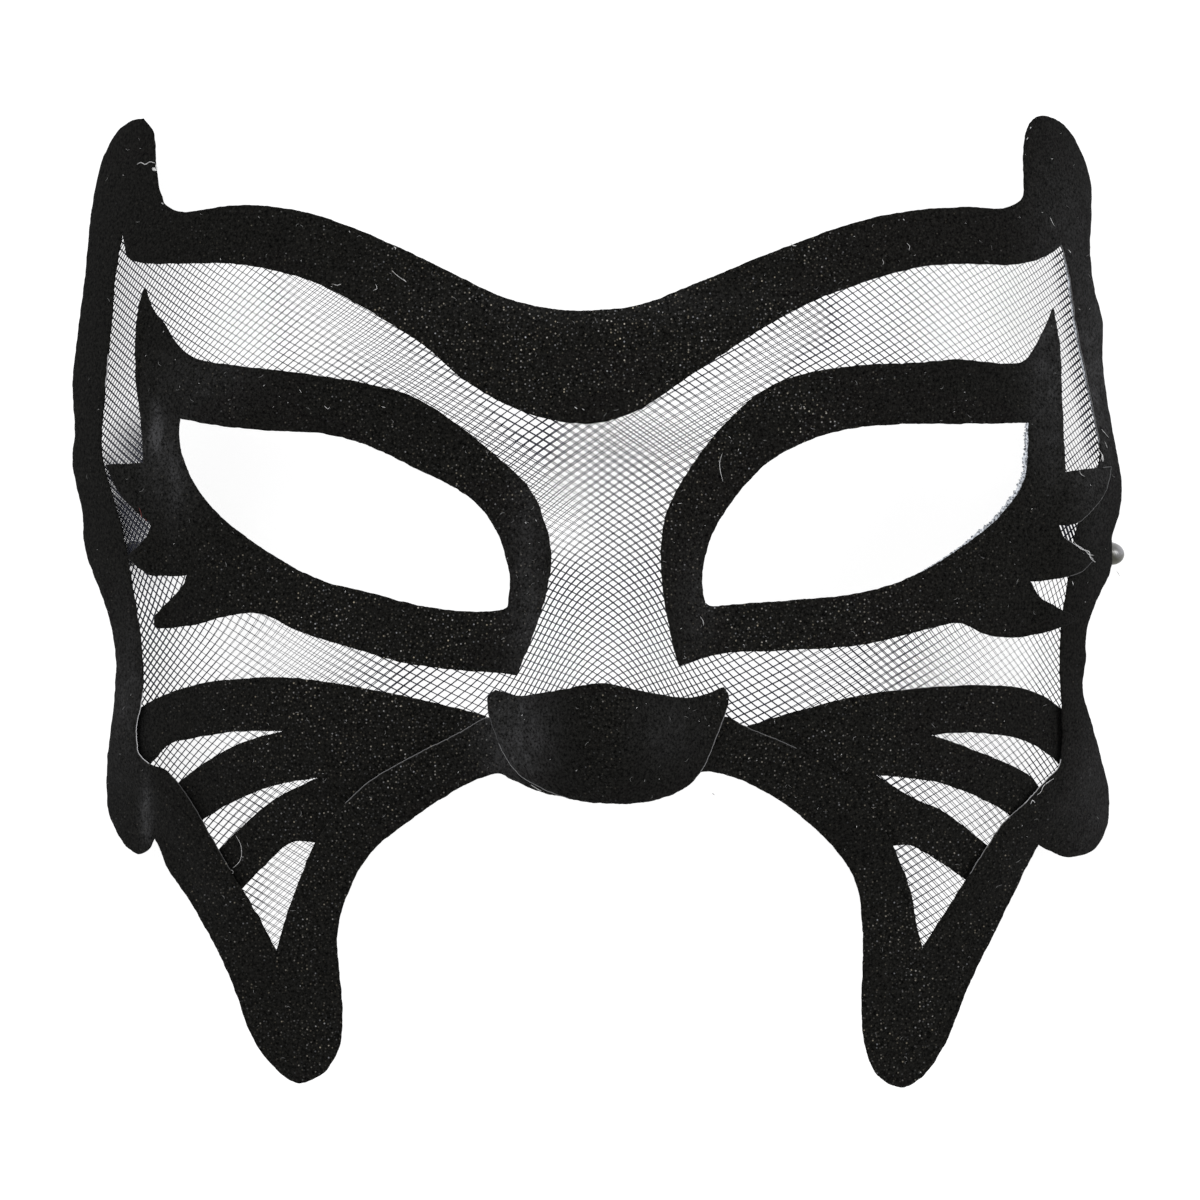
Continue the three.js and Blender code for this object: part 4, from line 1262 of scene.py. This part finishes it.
def tip_profile():
    """Radius and distance from the flat end, from its middle to the round end's middle."""
    profile = [(0, 0), (TIP_CORE, 0), (TIP_CORE, TIP_GROOVE), (TIP_CORE + 0.05, TIP_GROOVE + 0.02)]
    profile += [(TIP_RADIUS - 0.12, 0.0), (TIP_RADIUS, 0.14), (TIP_RADIUS, 1.2)]
    profile += [(TIP_RADIUS - CRIMP_DEPTH, 1.4), (TIP_RADIUS - CRIMP_DEPTH, 2.0), (TIP_RADIUS, 2.2)]
    for i in range(TIP_DOME_STEPS):
        turn = i / TIP_DOME_STEPS * math.pi / 2
        profile.append((TIP_RADIUS * math.cos(turn), TIP_LENGTH - TIP_DOME + TIP_DOME * math.sin(turn)))
    return profile + [(0, TIP_LENGTH)]


def cord_tip(name, node, end, way):
    """A metal tip with a groove in its flat end, a shallow crimp near it, and a round end."""
    profile = tip_profile()
    axis = Vector(way).normalized()
    upright = Vector((0, 0, 1)).rotation_difference(axis)
    base = Vector(end) - axis * TIP_LENGTH
    turns = [2 * math.pi * k / TIP_SIDES for k in range(TIP_SIDES)]
    places = [
        upright @ Vector((radius * math.cos(a), radius * math.sin(a), along)) + base
        for radius, along in profile
        for a in turns
    ]
    faces = ring_quads(len(profile), TIP_SIDES).tolist()
    obj = add_mesh(name, np.array(places), faces, [metal], replaces=[node], slot="cord_tip")
    merged = bmesh.new()
    merged.from_mesh(obj.data)
    bmesh.ops.remove_doubles(merged, verts=merged.verts, dist=1e-6)
    merged.to_mesh(obj.data)
    merged.free()


cord_tip("tip_left", "cord_tip_left", (-74.6, 6, 1.6), (-0.38, -0.17, -0.91))
cord_tip("tip_right", "cord_tip_right", (80.6, 6.8, 4.4), (0.95, -0.16, -0.27))


# Floor, light and camera, in metres

FLOOR_REACH = 4
SENSOR_WIDTH = 36
CAMERA_CLIP = 50
LIGHT_TARGET = Vector((0, 0, 0.03))
WHITE = (1, 1, 1, 1)


def make_floor():
    look = Shading(
        "pale_floor", Base_Color=(0.3, 0.3, 0.3, 1), Roughness=1.0, Specular_IOR_Level=0.0,
        Emission_Color=WHITE, Emission_Strength=0.85,
    )
    corners = [(-1, -1), (1, -1), (1, 1), (-1, 1)]
    mesh = bpy.data.meshes.new("floor")
    mesh.from_pydata([(FLOOR_REACH * x, FLOOR_REACH * y, 0) for x, y in corners], [], [(0, 1, 2, 3)])
    mesh.materials.append(look.material)
    floor = bpy.data.objects.new("floor", mesh)
    bpy.context.scene.collection.objects.link(floor)


def add_light(name, place, size, power):
    light = bpy.data.lights.new(name, "AREA")
    light.shape = "DISK"
    light.size = size
    light.energy = power
    obj = bpy.data.objects.new(name, light)
    obj.location = place
    obj.rotation_euler = (LIGHT_TARGET - obj.location).to_track_quat("-Z", "Y").to_euler()
    obj.visible_camera = False
    bpy.context.scene.collection.objects.link(obj)


def light_and_camera():
    scene = bpy.context.scene
    scene.view_settings.view_transform = "Standard"
    world = bpy.data.worlds.new("studio")
    world.use_nodes = True
    background = world.node_tree.nodes["Background"]
    background.inputs["Color"].default_value = WHITE
    background.inputs["Strength"].default_value = 0.8
    scene.world = world
    add_light("key", (-0.8, 0.7, 1.5), 1.0, 9)
    add_light("fill", (1.2, 0.3, 1.0), 0.8, 7)
    camera = bpy.data.cameras.new("camera")
    camera.sensor_width = SENSOR_WIDTH
    picture_width = PHOTO_PIXELS / PIXELS_PER_MM * MM
    camera.lens = SENSOR_WIDTH * (CAMERA_HEIGHT - PICTURE_LEVEL) / picture_width
    camera.clip_end = CAMERA_CLIP
    obj = bpy.data.objects.new("camera", camera)
    obj.location = (ROW_SHIFT[0] * MM, ROW_SHIFT[1] * MM, CAMERA_HEIGHT)
    scene.collection.objects.link(obj)
    scene.camera = obj


make_floor()
light_and_camera()
